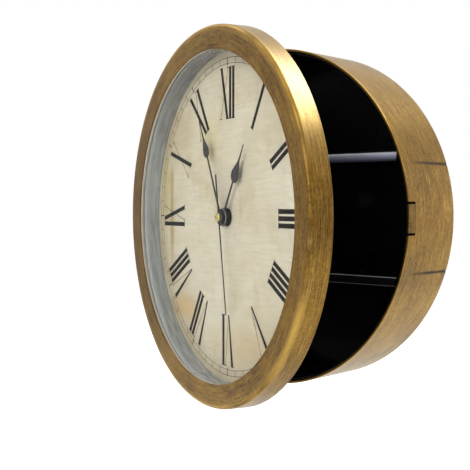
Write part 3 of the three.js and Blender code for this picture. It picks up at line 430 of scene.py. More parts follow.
class Finish:
    """A material under construction, with short calls for the nodes that it uses."""

    def __init__(self, name, on_door=False, **shader):
        self.material = bpy.data.materials.new(name)
        self.material.use_nodes = True
        self.tree = self.material.node_tree
        self.shader = self.tree.nodes["Principled BSDF"]
        self.place = self.node("ShaderNodeTexCoord").outputs["Object"]
        if on_door:
            turn_back = self.node("ShaderNodeMapping", self.place, vector_type="TEXTURE")
            turn_back.inputs["Location"].default_value = (door_origin * MM).tolist()
            turn_back.inputs["Rotation"].default_value = (0, 0, -door_turn)
            self.place = turn_back.outputs[0]
        for socket, value in shader.items():
            self.set(socket.replace("_", " "), value)

    def node(self, kind, *inputs, **settings):
        """Adds a node with its settings, and gives its inputs in order a value or a link."""
        made = self.tree.nodes.new(kind)
        for key, value in settings.items():
            setattr(made, key, value)
        for socket, value in zip(made.inputs, inputs):
            self.fill(socket, value)
        return made

    def fill(self, socket, value):
        """Links a socket, or sets its value; None leaves it as it is."""
        if isinstance(value, bpy.types.NodeSocket):
            self.tree.links.new(value, socket)
        elif value is not None:
            socket.default_value = value

    def set(self, name, value):
        """Links or sets one of the shader's own sockets."""
        self.fill(self.shader.inputs[name], value)

    def math(self, operation, *inputs):
        """One sum on numbers."""
        return self.node("ShaderNodeMath", *inputs, operation=operation).outputs[0]

    def times(self, first, second):
        """The product of two numbers."""
        return self.math("MULTIPLY", first, second)

    def scaled(self, factors, vector=None):
        """The place stretched by a factor per axis, or by one factor."""
        factors = np.broadcast_to(np.array(factors, float), 3).tolist()
        vector = self.place if vector is None else vector
        return self.node("ShaderNodeVectorMath", vector, factors, operation="MULTIPLY").outputs[0]

    def noise(self, vector, scale=1.0, detail=2.0, roughness=0.5, distortion=0.0):
        """Cloudy noise of 0 to 1, with so many features to each unit of the vector."""
        made = self.node("ShaderNodeTexNoise")
        self.fill(made.inputs["Vector"], vector)
        for name, value in (("Scale", scale), ("Detail", detail), ("Roughness", roughness),
                            ("Distortion", distortion)):
            made.inputs[name].default_value = value
        return made.outputs["Fac"]

    def between(self, value, low, high, to_low=0.0, to_high=1.0):
        """A value moved from one range to another, and held inside it."""
        return self.node("ShaderNodeMapRange", value, low, high, to_low, to_high).outputs[0]

    def fade(self, length, start, end, to_low=0.0, to_high=1.0):
        """As between, for a length in metres that runs from start to end in millimetres."""
        return self.between(length, start * MM, end * MM, to_low, to_high)

    def mix(self, share, first, second):
        """A blend of two colours; the second may be written as 0 to 255 per channel."""
        made = self.node("ShaderNodeMix", data_type="RGBA")
        if not isinstance(second, bpy.types.NodeSocket):
            second = linear(second)
        self.fill(made.inputs["Factor"], share)
        self.fill(made.inputs[MIX_FIRST], first)
        self.fill(made.inputs[MIX_SECOND], second)
        return made.outputs[MIX_RESULT]

    def ramp(self, value, *stops):
        """A colour ramp through (place, colour) stops."""
        made = self.node("ShaderNodeValToRGB", value)
        points = made.color_ramp.elements
        while len(points) < len(stops):
            points.new(0.5)
        for point, (place, colour) in zip(points, stops):
            point.position, point.color = place, linear(colour)
        return made.outputs[0]

    def bump(self, height, depth, strength=1.0):
        """Shades by a height of 0 to 1 that stands for a depth in millimetres."""
        made = self.node("ShaderNodeBump")
        made.inputs["Strength"].default_value = strength
        made.inputs["Distance"].default_value = depth * MM
        self.fill(made.inputs["Height"], height)
        self.set("Normal", made.outputs[0])

    def surface(self, drift, dark, light, marks, roughness, depth):
        """Lets the colour drift from dark to light, and lets marks give roughness and height."""
        self.set("Base Color", self.ramp(drift, (0.3, dark), (0.7, light)))
        self.set("Roughness", self.between(marks, 0.3, 0.7, *roughness))
        self.bump(marks, depth=depth, strength=0.5)
        return self.material

    def coordinate(self, axis):
        """The place's own x, y or z in metres, for an axis of 0, 1 or 2."""
        return self.node("ShaderNodeSeparateXYZ", self.place).outputs[axis]

    def from_axis(self):
        """The distance from the Y axis, in metres."""
        flat = self.scaled((1, 0, 1))
        return self.node("ShaderNodeVectorMath", flat, operation="LENGTH").outputs[1]

    def edge_place(self):
        """The distance from the Y axis minus y, in metres, which is greatest on front edges."""
        return self.math("SUBTRACT", self.from_axis(), self.coordinate(1))

    def round_the_axis(self, turns, across):
        """A place whose features are long round the Y axis and fine across it.

        The direction from the axis counts as turns units, so a feature reaches about
        radius / turns round it, and radius minus y is stretched so many times per millimetre.
        """
        flat = self.scaled((1, 0, 1))
        direction = self.node("ShaderNodeVectorMath", flat, operation="NORMALIZE").outputs[0]
        aside = self.node("ShaderNodeSeparateXYZ", direction)
        return self.node("ShaderNodeCombineXYZ", self.times(aside.outputs[0], turns),
                         self.times(self.edge_place(), across / MM),
                         self.times(aside.outputs[2], turns)).outputs[0]


print("finish helpers ready")

# %% [markdown]
# The case and the bezel are moulded and painted an old gold: a warm metallic coat, brushed round
# the rim while it was wet, with a thin brown glaze left in the brush marks. Real glaze gathers
# in patches, so broad noise decides how much brown lies in the fine streaks. All of it is mixed
# into one base colour, because the shine everywhere is that of the same metal under lacquer.

# %% Antique gold
RIM_RADIUS = DOOR_RADIUS - 11.5
GOLD_TINT = (248, 238, 220)
GLAZED_GOLD = [(0.0, (56, 37, 9)), (0.3, (104, 74, 24)), (0.62, (133, 99, 34)), (1.0, (168, 133, 58))]
PALE_GOLD = (190, 158, 92)
# The next colours are a worn edge with a painted highlight on it, a painted highlight on the door's side, painted
# shade towards the hinge, a glaze mark, and painted shade in the seams.
WORN_AND_HIGHLIT_GOLD = (196, 158, 78)
PAINTED_HIGHLIGHT_GOLD = (170, 148, 112)
PAINTED_SHADE_GOLD = (76, 50, 14)
GLAZE_MARK = (48, 32, 13)
PAINTED_SEAM_SHADE = (28, 20, 14)
LEVEL_SPAN = 0.2


def glazed(gold, glaze):
    """The brushed colour, how little glaze lies over it, and the noises that they came from.

    The level is the sum of each noise minus a half, times its weight, moved to 0 to 1.
    """
    marks = {"fine": gold.noise(gold.round_the_axis(turns=6, across=1.9), detail=4, roughness=0.72),
             "streak": gold.noise(gold.round_the_axis(turns=4, across=0.9), detail=4, roughness=0.65),
             "cloud": gold.noise(gold.place, scale=22, detail=5, roughness=0.62),
             "fleck": gold.noise(gold.place, scale=520, detail=3, roughness=0.6)}
    amount = None
    for kind, weight in (("fine", 0.6), ("streak", 0.3), ("cloud", 0.36), ("fleck", 0.3)):
        part = gold.times(gold.math("SUBTRACT", marks[kind], 0.5), weight)
        amount = part if amount is None else gold.math("ADD", amount, part)
    level = gold.between(amount, -LEVEL_SPAN - glaze, LEVEL_SPAN - glaze)
    colour = gold.ramp(gold.math("SUBTRACT", 1.0, level), *GLAZED_GOLD)
    pale = gold.noise(gold.round_the_axis(turns=7, across=1.6), detail=3, roughness=0.6)
    colour = gold.mix(gold.between(pale, 0.55, 0.68, 0, 0.34), colour, PALE_GOLD)
    marks["scratch"] = gold.noise(gold.round_the_axis(turns=15, across=1.9))
    gathered = gold.between(marks["cloud"], 0.46, 0.6, 0, 0.6)
    brown = gold.times(gold.between(marks["scratch"], 0.61, 0.67), gathered)
    return gold.mix(brown, colour, GLAZE_MARK), level, marks


def painted_door_light_and_shade(gold, colour):
    """Painted shade in deeper gold towards the hinge, and a painted highlight in pale gold on the side's upper
    part.
    """
    painted_shade_to_hinge = gold.fade(gold.coordinate(0), -50, -118, 0, 0.46)
    colour = gold.mix(painted_shade_to_hinge, colour, PAINTED_SHADE_GOLD)
    above = gold.fade(gold.coordinate(2), 30, 90, 0, 0.4)
    behind_face = gold.fade(gold.coordinate(1), DOOR_FRONT + 1, DOOR_FRONT + 3)
    return gold.mix(gold.times(above, behind_face), colour, PAINTED_HIGHLIGHT_GOLD)


def worn_and_highlit_edge(gold, colour, edge, wear_and_highlight):
    """Bright metal within a few millimetres of the front edge, in patches, least at mid height: partly worn paint,
    partly a painted highlight.
    """
    patches = gold.noise(gold.round_the_axis(turns=3, across=0.3), detail=3, roughness=0.6)
    height = gold.math("ABSOLUTE", gold.coordinate(2))
    worn_and_lit = gold.fade(gold.edge_place(), edge - 3.4, edge, 0, wear_and_highlight)
    worn_and_lit = gold.times(worn_and_lit, gold.between(patches, 0.4, 0.6, 0.3, 1))
    worn_and_lit = gold.times(worn_and_lit, gold.fade(height, 24, 60, 0.05, 1))
    return gold.mix(worn_and_lit, colour, WORN_AND_HIGHLIT_GOLD)


def shade_in_seam(gold, colour, streak, seam):
    """Painted shade within a millimetre or so of a seam's height, on the wall alone, more to the back."""
    height = gold.math("ABSOLUTE", gold.coordinate(2))
    aside = gold.math("ABSOLUTE", gold.math("SUBTRACT", height, seam * MM))
    along = gold.fade(gold.coordinate(1), rim_front + 8, rim_front + 32, 0.1, 1)
    seam_shade = gold.times(gold.fade(aside, 1.5, 0.5, 0, 0.95), along)
    seam_shade = gold.times(seam_shade, gold.between(streak, 0.35, 0.5, 0.6, 1))
    on_wall = gold.fade(gold.from_axis(), RIM_RADIUS * 0.93, RIM_RADIUS * 0.97)
    return gold.mix(gold.times(seam_shade, on_wall), colour, PAINTED_SEAM_SHADE)


def antique_gold(name, glaze, edge, wear_and_highlight, on_door=False, seam=None):
    """Brushed gold paint under a brown glaze and thin lacquer, worn bright on an edge, with a painted highlight
    there.

    More glaze makes it browner and duller. The edge is where radius minus y, in millimetres,
    comes near its greatest value on the piece, so it is worn first, and a highlight is painted
    there too. On the door, shade towards the hinge and a highlight on the side's upper part are
    painted in. A seam is the height in millimetres of a groove on both sides, along which shade
    is painted.
    """
    gold = Finish(name, on_door, Metallic=1.0, Specular_Tint=linear(GOLD_TINT),
                  Coat_Weight=0.32, Coat_IOR=1.35, Coat_Roughness=0.3)
    colour, level, marks = glazed(gold, glaze)
    # On the door, painted shade towards the hinge and a painted highlight on the side's upper part.
    if on_door:
        colour = painted_door_light_and_shade(gold, colour)
    # Worn gold on the front edge, with a painted highlight there.
    colour = worn_and_highlit_edge(gold, colour, edge, wear_and_highlight)
    # Painted shade in the seams' grooves.
    if seam:
        colour = shade_in_seam(gold, colour, marks["streak"], seam)
    gold.set("Base Color", colour)
    gold.set("Roughness", gold.between(level, 0, 1, 0.28, 0.46))
    grooves = gold.math("ADD", marks["fine"], gold.times(marks["scratch"], 0.5))
    gold.bump(grooves, depth=0.03, strength=0.5)
    return gold.material


SEAM_HEIGHT = 35.0
tub_edge = RIM_RADIUS - rim_front - 0.2
bezel_edge = DOOR_RADIUS - DOOR_FRONT - 1.5
case_gold = antique_gold("antique gold case", glaze=0.02, edge=tub_edge, wear_and_highlight=0.3, seam=SEAM_HEIGHT)
tongue_gold = antique_gold("antique gold tongue", glaze=0.085, edge=tub_edge, wear_and_highlight=0.3)
bezel_gold = antique_gold("antique gold bezel", glaze=0.045, edge=bezel_edge, wear_and_highlight=0.62, on_door=True)
print("gold finishes made for the case, the tongue and the bezel")

# %% [markdown]
# The safe's inside is black. Its liner and shelves are moulded with a hard gloss that fine marks
# break up, and the door's back cover and the movement have the satin of ordinary black plastic
# with a faint grain from the mould. Where the upper shelf's lip catches the light, a pale band
# is painted on as a highlight, darker at its lower edge, so that shelf has its own finish.

# %% Blacks and greys
LIP_HEIGHT = 7.0
# A painted highlight across the lip's height: dark at its foot, palest near its top.
PAINTED_LIP_HIGHLIGHT = [(0.08, (40, 41, 52)), (0.36, (138, 142, 162)), (0.78, (232, 235, 246)),
             (0.95, (132, 136, 152))]


def gloss_black(name, lip=None):
    """A hard black gloss. A lip, given by its height and front, gets a painted highlight in pale grey on its front
    face.
    """
    black = Finish(name, IOR=1.5, Coat_Weight=0.3, Coat_Roughness=0.08)
    haze = black.noise(black.place, scale=60, detail=4, roughness=0.6)
    scuff = black.noise(black.scaled((900, 60, 900)), detail=3)
    colour = black.ramp(haze, (0.3, (9, 9, 10)), (0.7, (17, 17, 18)))
    if lip:
        # A painted highlight on the lip's front face.
        height, front = lip
        rise = black.fade(black.coordinate(2), height - LIP_HEIGHT / 2, height + LIP_HEIGHT / 2)
        highlight_on_front = black.fade(black.coordinate(1), front + 1.6, front + 0.5)
        colour = black.mix(highlight_on_front, colour, black.ramp(rise, *PAINTED_LIP_HIGHLIGHT))
    black.set("Base Color", colour)
    black.set("Roughness", black.between(scuff, 0.3, 0.8, 0.14, 0.3))
    black.bump(scuff, depth=0.02, strength=0.3)
    return black.material


def moulded(name, colour, spread, roughness, grain=0.02, on_door=False, size=900):
    """Moulded plastic: a colour that drifts a little, and the grain of the mould."""
    plastic = Finish(name, on_door)
    drift = plastic.noise(plastic.place, scale=45, detail=4, roughness=0.6)
    tooth = plastic.noise(plastic.place, scale=size, detail=3, roughness=0.6)
    return plastic.surface(drift, *about(colour, spread), tooth, roughness, grain)


black_gloss = gloss_black("gloss black")
black_plastic = moulded("black plastic", (26, 26, 27), spread=4, roughness=(0.42, 0.55), grain=0.03)
movement_plastic = moulded("movement plastic", (30, 30, 32), spread=4, roughness=(0.38, 0.5), size=1500)
white_plastic = moulded("white plastic", (222, 220, 212), spread=4, roughness=(0.4, 0.5), grain=0.01)
print("plastics made")

# %% [markdown]
# The ring between the glass and the dial is a pale grey moulding. Dust and age have given it
# a mottled, slightly streaky look. The light that comes in past the bezel is painted on its front
# as a paler grey, and the shade under the bezel's top is painted on as a darker grey. The thin
# bead that lines the pane is nearly white.

# %% Pale grey ring
GREY_RAMP = [(0.3, (122, 118, 120)), (0.5, (144, 145, 143)), (0.7, (160, 162, 160))]
PAINTED_LIGHT_GREY = (196, 198, 200)
PAINTED_SHADE_GREY = (104, 96, 92)


def pale_grey():
    """Mottled grey from clouds and streaks, with painted light towards the front and painted shade on top."""
    grey = Finish("pale grey", True)
    cloud = grey.noise(grey.place, scale=26, detail=5, roughness=0.62)
    streak = grey.noise(grey.round_the_axis(turns=7, across=0.5), detail=3)
    both = grey.math("ADD", grey.times(cloud, 0.65), grey.times(streak, 0.35))
    # Painted light at the front and painted shade on top.
    painted_light_in_front = grey.fade(grey.coordinate(1), -7.5, -11.2, 0, 0.8)
    painted_shade_on_top = grey.fade(grey.coordinate(2), 60, 104, 0, 0.5)
    colour = grey.mix(painted_light_in_front, grey.ramp(both, *GREY_RAMP), PAINTED_LIGHT_GREY)
    grey.set("Base Color", grey.mix(painted_shade_on_top, colour, PAINTED_SHADE_GREY))
    grey.set("Roughness", grey.between(streak, 0.3, 0.7, 0.2, 0.34))
    grey.bump(cloud, depth=0.06, strength=0.4)
    return grey.material


spacer_grey = pale_grey()
bead_white = moulded("bead white", (232, 224, 212), spread=6, roughness=(0.25, 0.4), grain=0.01,
                     on_door=True)
print("pale grey made")

# %% [markdown]
# The dial is printed paper made to look old: cream parchment with soft brown stains that run
# down it, browner towards the edge, and the fine tooth of the paper.

# %% Aged dial paper and ink
PAPER_RAMP = [(0.28, (180, 165, 134)), (0.5, (197, 184, 161)), (0.74, (205, 195, 175))]
PAPER_STAIN = (172, 146, 100)
PAPER_EDGE = (168, 150, 118)
PAPER_THREAD = (150, 132, 104)

# Each stain: its middle in millimetres from the dial's, how far it reaches across and up, how
# strong it is, and its colour.
STAINS = [((-88, 2), (4.5, 50), 0.7, (152, 130, 64)), ((-98, 22), (7, 40), 0.7, (178, 160, 104)),
          ((-66, -66), (30, 14), 0.6, (186, 150, 92)), ((-26, 52), (20, 22), 0.5, (202, 184, 136)),
          ((30, -86), (56, 18), 0.45, (186, 160, 116)), ((-78, 60), (34, 20), 0.5, (176, 152, 112))]


def stained(paper, middle, reach, share, cloud):
    """How much of a stain lies at a place: share at its middle, fading to none at its reach.

    The distance is the length of the place from the middle, with each direction divided by its
    reach, and the paper's own clouds push the stain's border in and out.
    """
    aside = paper.node("ShaderNodeVectorMath", paper.place, (middle[0] * MM, 0, middle[1] * MM),
                       operation="SUBTRACT").outputs[0]
    aside = paper.scaled((1 / (reach[0] * MM), 0, 1 / (reach[1] * MM)), aside)
    length = paper.node("ShaderNodeVectorMath", aside, operation="LENGTH").outputs[1]
    ragged = paper.math("ADD", length, paper.between(cloud, 0.3, 0.7, 0.35, -0.35))
    return paper.between(ragged, 1.0, 0.45, 0, share)


def aged_paper():
    """Clouded cream, with stains, a browner edge and threads laid over it in turn."""
    paper = Finish("aged paper", True, Specular_IOR_Level=0.25)
    cloud = paper.noise(paper.place, scale=20, detail=6, roughness=0.62, distortion=0.4)
    stain = paper.noise(paper.scaled((90, 30, 34)), detail=4, roughness=0.6, distortion=0.3)
    fibre = paper.noise(paper.scaled((60, 900, 620)), detail=3, roughness=0.6)
    tooth = paper.noise(paper.place, scale=1600)
    colour = paper.ramp(cloud, *PAPER_RAMP)
    colour = paper.mix(paper.between(stain, 0.55, 0.78, 0, 0.4), colour, PAPER_STAIN)
    colour = paper.mix(paper.fade(paper.from_axis(), 78, 114, 0, 0.34), colour, PAPER_EDGE)
    for middle, reach, share, tone in STAINS:
        colour = paper.mix(stained(paper, middle, reach, share, cloud), colour, tone)
    threads = paper.between(fibre, 0.35, 0.75, 0, 0.28)
    paper.set("Base Color", paper.mix(threads, colour, PAPER_THREAD))
    paper.set("Roughness", paper.between(cloud, 0.3, 0.7, 0.62, 0.78))
    paper.bump(paper.math("ADD", tooth, paper.times(fibre, 0.5)), depth=0.03, strength=0.5)
    return paper.material


def printing(name, colour, light):
    """Printing ink that lies a little unevenly on the paper."""
    ink = Finish(name, True, Specular_IOR_Level=0.12)
    press = ink.noise(ink.place, scale=900, detail=3, roughness=0.6)
    ink.set("Base Color", ink.ramp(press, (0.35, colour), (0.75, light)))
    ink.set("Roughness", ink.between(press, 0.3, 0.7, 0.5, 0.66))
    return ink.material


paper_finish = aged_paper()
numeral_ink = printing("numeral ink", (16, 12, 9), (32, 26, 21))
track_ink = printing("track ink", (66, 48, 34), (98, 76, 54))
print("paper and inks made")

# %% [markdown]
# Metals differ in colour, polish and direction. Hands are blackened steel with bright collets,
# the nut and its washer are dark steel, the seconds cap is brass, screws are bright steel, and
# the hinge is steel under a thin black coat.

# %% Metals
def metal(name, colour, spread, roughness, brushed, depth=0.02, on_door=False, metallic=1.0):
    """Metal with faint tarnish patches, and brush marks finest where brushed is greatest."""
    made = Finish(name, on_door, Metallic=metallic)
    tarnish = made.noise(made.place, scale=160, detail=4, roughness=0.6)
    marks = made.noise(made.scaled(brushed), detail=3, roughness=0.6)
    return made.surface(tarnish, *about(colour, spread), marks, roughness, depth)


brass = metal("brass", (188, 172, 104), 18, (0.2, 0.36), (700, 300, 700), on_door=True)
screw_steel = metal("screw steel", (168, 169, 172), 16, (0.24, 0.4), (1200, 1200, 1200))
hinge_steel = metal("hinge steel", (52, 50, 48), 10, (0.38, 0.5), (1500, 1500, 300), metallic=0.6)
hand_black = metal("hand black", (26, 20, 15), 5, (0.32, 0.5), (900, 900, 900), 0.01, True, 0.3)
collar_steel = metal("collar steel", (66, 65, 68), 12, (0.28, 0.42), (900, 300, 900), on_door=True)
collet_steel = metal("collet steel", (192, 190, 196), 12, (0.26, 0.4), (900, 900, 900), on_door=True)
stator_iron = metal("stator iron", (120, 122, 126), 12, (0.3, 0.45), (200, 200, 1600))
contact_nickel = metal("contact nickel", (196, 194, 188), 10, (0.16, 0.3), (400, 1600, 400))
print("metals made")

# %% [markdown]
# The small electrical pieces have finishes of their own: enamelled copper wire whose turns show
# as fine ribs, a green circuit board with a faint weave under its coat, and a cell in a plain
# sleeve with a soft sheen.

# %% Electrical finishes
WIRE_PITCH = 0.25


def wound_copper():
    """Copper with a rib for each turn of wire: the ribs are the sine of tau z over the pitch."""
    wire = Finish("wound copper", True, Metallic=0.85, Coat_Weight=0.4)
    turns = wire.math("SINE", wire.times(wire.coordinate(2), math.tau / (WIRE_PITCH * MM)))
    drift = wire.noise(wire.place, scale=900, detail=3)
    wire.set("Base Color", wire.ramp(drift, (0.3, (146, 72, 34)), (0.7, (186, 104, 54))))
    wire.set("Roughness", wire.between(drift, 0.3, 0.7, 0.28, 0.42))
    wire.bump(wire.between(turns, -1, 1), depth=0.06, strength=0.6)
    return wire.material


def board_green():
    """Green lacquer over a fine weave."""
    board = Finish("board green", True, Coat_Weight=0.3)
    weave = board.noise(board.place, scale=1800)
    cloud = board.noise(board.place, scale=240, detail=3)
    return board.surface(cloud, (26, 78, 50), (40, 100, 66), weave, (0.3, 0.42), depth=0.02)


coil_copper = wound_copper()
circuit_green = board_green()
cell_sleeve = metal("cell sleeve", (58, 68, 82), 6, (0.28, 0.36), (60, 900, 900), 0.01, True, 0.35)
print("electrical finishes made")

# %% [markdown]
# The pane is clear glass with a faint haze. Light has to pass it to reach the dial, so for
# shadow rays it counts as open, with a slight loss. Its index is set low, so that the dial
# isn't veiled by the white room's reflection or shifted behind the glass.

# %% Clear glass
def clear_glass():
    """Glass for every ray but a shadow ray, for which it is a tinted opening."""
    glass = Finish("clear glass", True, IOR=1.06, Transmission_Weight=1.0)
    film = glass.noise(glass.place, scale=70, detail=4, roughness=0.6)
    glass.set("Base Color", glass.ramp(film, (0.3, (250, 252, 252)), (0.7, (244, 248, 248))))
    glass.set("Roughness", glass.between(film, 0.3, 0.8, 0.0, 0.03))
    rays = glass.node("ShaderNodeLightPath")
    through = glass.node("ShaderNodeBsdfTransparent", linear((246, 248, 248)))
    blend = glass.node("ShaderNodeMixShader", rays.outputs["Is Shadow Ray"],
                       glass.shader.outputs[0], through.outputs[0])
    surface = glass.tree.nodes["Material Output"].inputs["Surface"]
    glass.tree.links.new(blend.outputs[0], surface)
    return glass.material


glass_finish = clear_glass()
print("glass made")

# %% [markdown]
# The tub is one deep moulding: a round wall with a slight draft, so that it leaves its mould,
# a flat back, and a small round where they meet.

# %% The tub
TUB_DEPTH = -rim_front
TUB_WALL = 1.7
BACK_PLATE = 2.2
DRAFT = 1.0
TUB_ROUNDS = [0, 3.0, 0.45, 0.3, 1.5, 0]
TUB_FACE_LENGTH = 8


def tub_radius(y):
    """Outer radius of the tub at a depth, which shrinks evenly towards the wall."""
    return RIM_RADIUS - DRAFT * (1 + y / TUB_DEPTH)


def divided(outline, step):
    """An outline with points added along its long sides, so that no side is much over a step."""
    outline = np.array(outline, float)
    following = np.roll(outline, -1, 0)
    length = np.linalg.norm(following - outline, axis=1)
    counts = np.maximum(np.ceil(length / step).astype(int), 1)
    share = np.concatenate([np.arange(n) / n for n in counts])[:, None]
    return np.repeat(outline, counts, 0) * (1 - share) + np.repeat(following, counts, 0) * share


def tub_outline():
    """Half of the tub's section, from the axis behind, round the wall, to the axis inside."""
    inner = tub_radius(rim_front) - TUB_WALL
    corners = [(0, 0), (tub_radius(0), 0), (tub_radius(rim_front), rim_front), (inner, rim_front),
               (tub_radius(-BACK_PLATE) - TUB_WALL, -BACK_PLATE), (0, -BACK_PLATE)]
    return divided(half_outline(corners, TUB_ROUNDS, 5), TUB_FACE_LENGTH)[:-1]


tub = turned("case_tub", tub_outline(), 1, (0, 0, 0), steps=RING_STEPS)
print("tub radius", RIM_RADIUS, "to", tub_radius(0), "mm")

# %% [markdown]
# What breaks the tub's plain round: a window for the latch, a keyhole at the top that hangs on
# the wall's screw, four bosses with seats for the screws that hold the liner, and two short
# seams on either side, above and below the latch, where the mould's parts met. A seam is cut as
# a wedge, so it fades out towards the front.

# %% The tub's openings, bosses and seams
TOOL_REACH = 2.0
FAR_X = (60, 130)
LATCH_HALF = 10.5
LATCH_END = rim_front + 7.5
KEYHOLE_HEIGHT, KEYHOLE_RADIUS = 76.0, 5.0
SLOT_TOP, SLOT_HALF = 86.0, 2.6
KEYHOLE_TOOL = (-6, 2)
LINER_SCREW_CIRCLE = RIM_RADIUS - 35.5
BOSS_RADIUS, BOSS_FRONT, BOSS_ROOT = 5.5, -3.7, -1
SEAT_WIDTH, SEAT_DEPTH = 3.5, -1.4
SEAM_HALF = 0.55
SEAM_START = rim_front + 11
SEAM_SHALLOW, SEAM_DEEP, SEAM_OUTSIDE = 0.6, 2.3, 4


def keyhole_outline():
    """The round entry and the narrower slot above it, as one outline in x and z."""
    joint = math.asin(SLOT_HALF / KEYHOLE_RADIUS)
    top = np.linspace(0, math.pi, 17)
    below = np.linspace(math.pi / 2 + joint, 2.5 * math.pi - joint, 41)
    upper = np.stack([SLOT_HALF * np.cos(top), SLOT_TOP + SLOT_HALF * np.sin(top)], -1)
    lower = KEYHOLE_RADIUS * np.stack([np.cos(below), np.sin(below)], -1) + (0, KEYHOLE_HEIGHT)
    return np.concatenate([upper, lower])


def screw_places(circle, first, count):
    """Points of x and z spread evenly on a circle, from a first angle in degrees."""
    turn = np.radians(first + np.arange(count) * 360 / count)
    return np.stack([circle * np.cos(turn), circle * np.sin(turn)], -1)


def seam_tool(side, height):
    """A wedge through the wall at a height: shallow at its front end, deeper at the back."""
    wall = math.sqrt(RIM_RADIUS ** 2 - height ** 2)
    wedge = [(side * (wall - SEAM_SHALLOW), SEAM_START), (side * (wall + SEAM_OUTSIDE), SEAM_START),
             (side * (wall + SEAM_OUTSIDE), TOOL_REACH), (side * (wall - SEAM_DEEP), TOOL_REACH)]
    return plate("seam", wedge, height - SEAM_HALF, height + SEAM_HALF, axis=2)


liner_screws = screw_places(LINER_SCREW_CIRCLE, 45, 4)
window = block("window", (FAR_X[0], rim_front - TOOL_REACH, -LATCH_HALF), (FAR_X[1], LATCH_END, LATCH_HALF))
tub = cut(tub, window)
tub = cut(tub, plate("keyhole", keyhole_outline(), *KEYHOLE_TOOL))
for x, z in liner_screws:
    tub = cut(tub, rod("boss", BOSS_RADIUS, BOSS_FRONT, BOSS_ROOT, x, z), "UNION")
    tub = cut(tub, rod("seat", SEAT_WIDTH, SEAT_DEPTH, TOOL_REACH, x, z))
for side in (-1, 1):
    for height in (-SEAM_HEIGHT, SEAM_HEIGHT):
        tub = cut(tub, seam_tool(side, height))
dressed(tub, case_gold, "case_shell")
print("tub:", len(tub.data.polygons), "faces, seams at", SEAM_HEIGHT, "mm above and below the middle")

# %% [markdown]
# At three o'clock two slits free a short length of the rim. It bends like a spring, and a small
# ridge inside it catches the door's hook, so the tongue keeps the door shut. The tongue is part
# of a ring, a little shorter than the window, so that the slits show as dark lines.

# %% The latch tongue
TONGUE_HALF = 9.0
TONGUE_SINK = 0.1
TONGUE_BACK = LATCH_END - 0.2
TONGUE_ROUNDS = [0.3, 0.45, 0.2, 0.3]
RIDGE_HALF, RIDGE_RISE = 6, 1.3
RIDGE_START, RIDGE_TOP, RIDGE_END = rim_front + 2, rim_front + 3, rim_front + 4
BITE = 0.4


def latch_tongue():
    """The tongue, joined with the ridge that slopes up to its catching face."""
    outer, inner = tub_radius(rim_front) - TONGUE_SINK, tub_radius(rim_front) - TUB_WALL
    half = math.asin(TONGUE_HALF / outer)
    corners = rectangle(inner, outer, rim_front, TONGUE_BACK)
    tongue = ring_part("latch_tongue_shown", rounded(corners, TONGUE_ROUNDS), -half, half)
    ridge = [(inner + BITE, RIDGE_START), (inner - RIDGE_RISE, RIDGE_TOP),
             (inner - RIDGE_RISE, RIDGE_END), (inner + BITE, RIDGE_END)]
    return cut(tongue, plate("ridge", ridge, -RIDGE_HALF, RIDGE_HALF, axis=2), "UNION")


tongue = dressed(latch_tongue(), tongue_gold, "latch_tongue")
print("tongue from", rim_front, "to", round(TONGUE_BACK, 2), "mm")

# %% [markdown]
# The liner is a thinner tub inside the first. It stops just behind the rim, which leaves the
# thin dark line seen inside the gold edge. It carries small ledges for the shelves, and bosses
# behind it take the four screws.

# %% The liner
LINER_WALL = 1.6
GAP = 0.3
LINER_MOUTH = case_box("case_liner")[0][1]
LINER_BACK = -6.6
LINER_FLOOR = LINER_BACK - LINER_WALL
LINER_ROUNDS = [0, 2.0, 0.3, 0.5, 1.2, 0]
LINER_FACE_LENGTH = 10
NOTCH_HALF = LATCH_HALF + GAP
NOTCH_END = LATCH_END + 1.2
LINER_BOSS_RADIUS, LINER_BOSS_ROOT, LINER_BOSS_END = 4.2, -7, -4
SHELF_HEIGHT = 39.5
SHELF_THICKNESS = 2.4
LEDGE_THICKNESS = 3
LEDGE_WIDTH = 6
LEDGE_SETBACK = 6


def liner_inner(y):
    """Inner radius of the liner at a depth."""
    return tub_radius(y) - TUB_WALL - GAP - LINER_WALL


def liner_tub():
    """The liner's own tub, notched behind the latch."""
    corners = [(0, LINER_BACK), (liner_inner(LINER_BACK) + LINER_WALL, LINER_BACK),
               (liner_inner(LINER_MOUTH) + LINER_WALL, LINER_MOUTH),
               (liner_inner(LINER_MOUTH), LINER_MOUTH), (liner_inner(LINER_FLOOR), LINER_FLOOR),
               (0, LINER_FLOOR)]
    outline = divided(half_outline(corners, LINER_ROUNDS, 4), LINER_FACE_LENGTH)
    whole = turned("case_liner_shown", outline, 1, (0, 0, 0), steps=RING_STEPS)
    notch = block("notch", (FAR_X[0], LINER_MOUTH - TOOL_REACH, -NOTCH_HALF),
                  (FAR_X[1], NOTCH_END, NOTCH_HALF))
    return cut(whole, notch)


def ledge(side, height):
    """A strip under a shelf's end, from the liner's wall inwards, with a curved outer side."""
    top = height + LIP_HEIGHT / 2 - SHELF_THICKNESS - GAP
    farthest = SHELF_HEIGHT + LIP_HEIGHT / 2
    reach = math.sqrt(liner_inner(LINER_FLOOR) ** 2 - farthest ** 2) - LEDGE_WIDTH
    z = np.linspace(top - LEDGE_THICKNESS, top, 9)
    wall = np.sqrt((liner_inner(LINER_MOUTH) + BITE) ** 2 - z ** 2)
    outline = [(reach, top), (reach, top - LEDGE_THICKNESS), *np.stack([wall, z], -1)]
    outline = np.array(outline) * (side, 1)
    return plate("ledge", outline, LINER_MOUTH + LEDGE_SETBACK, LINER_FLOOR + BITE)


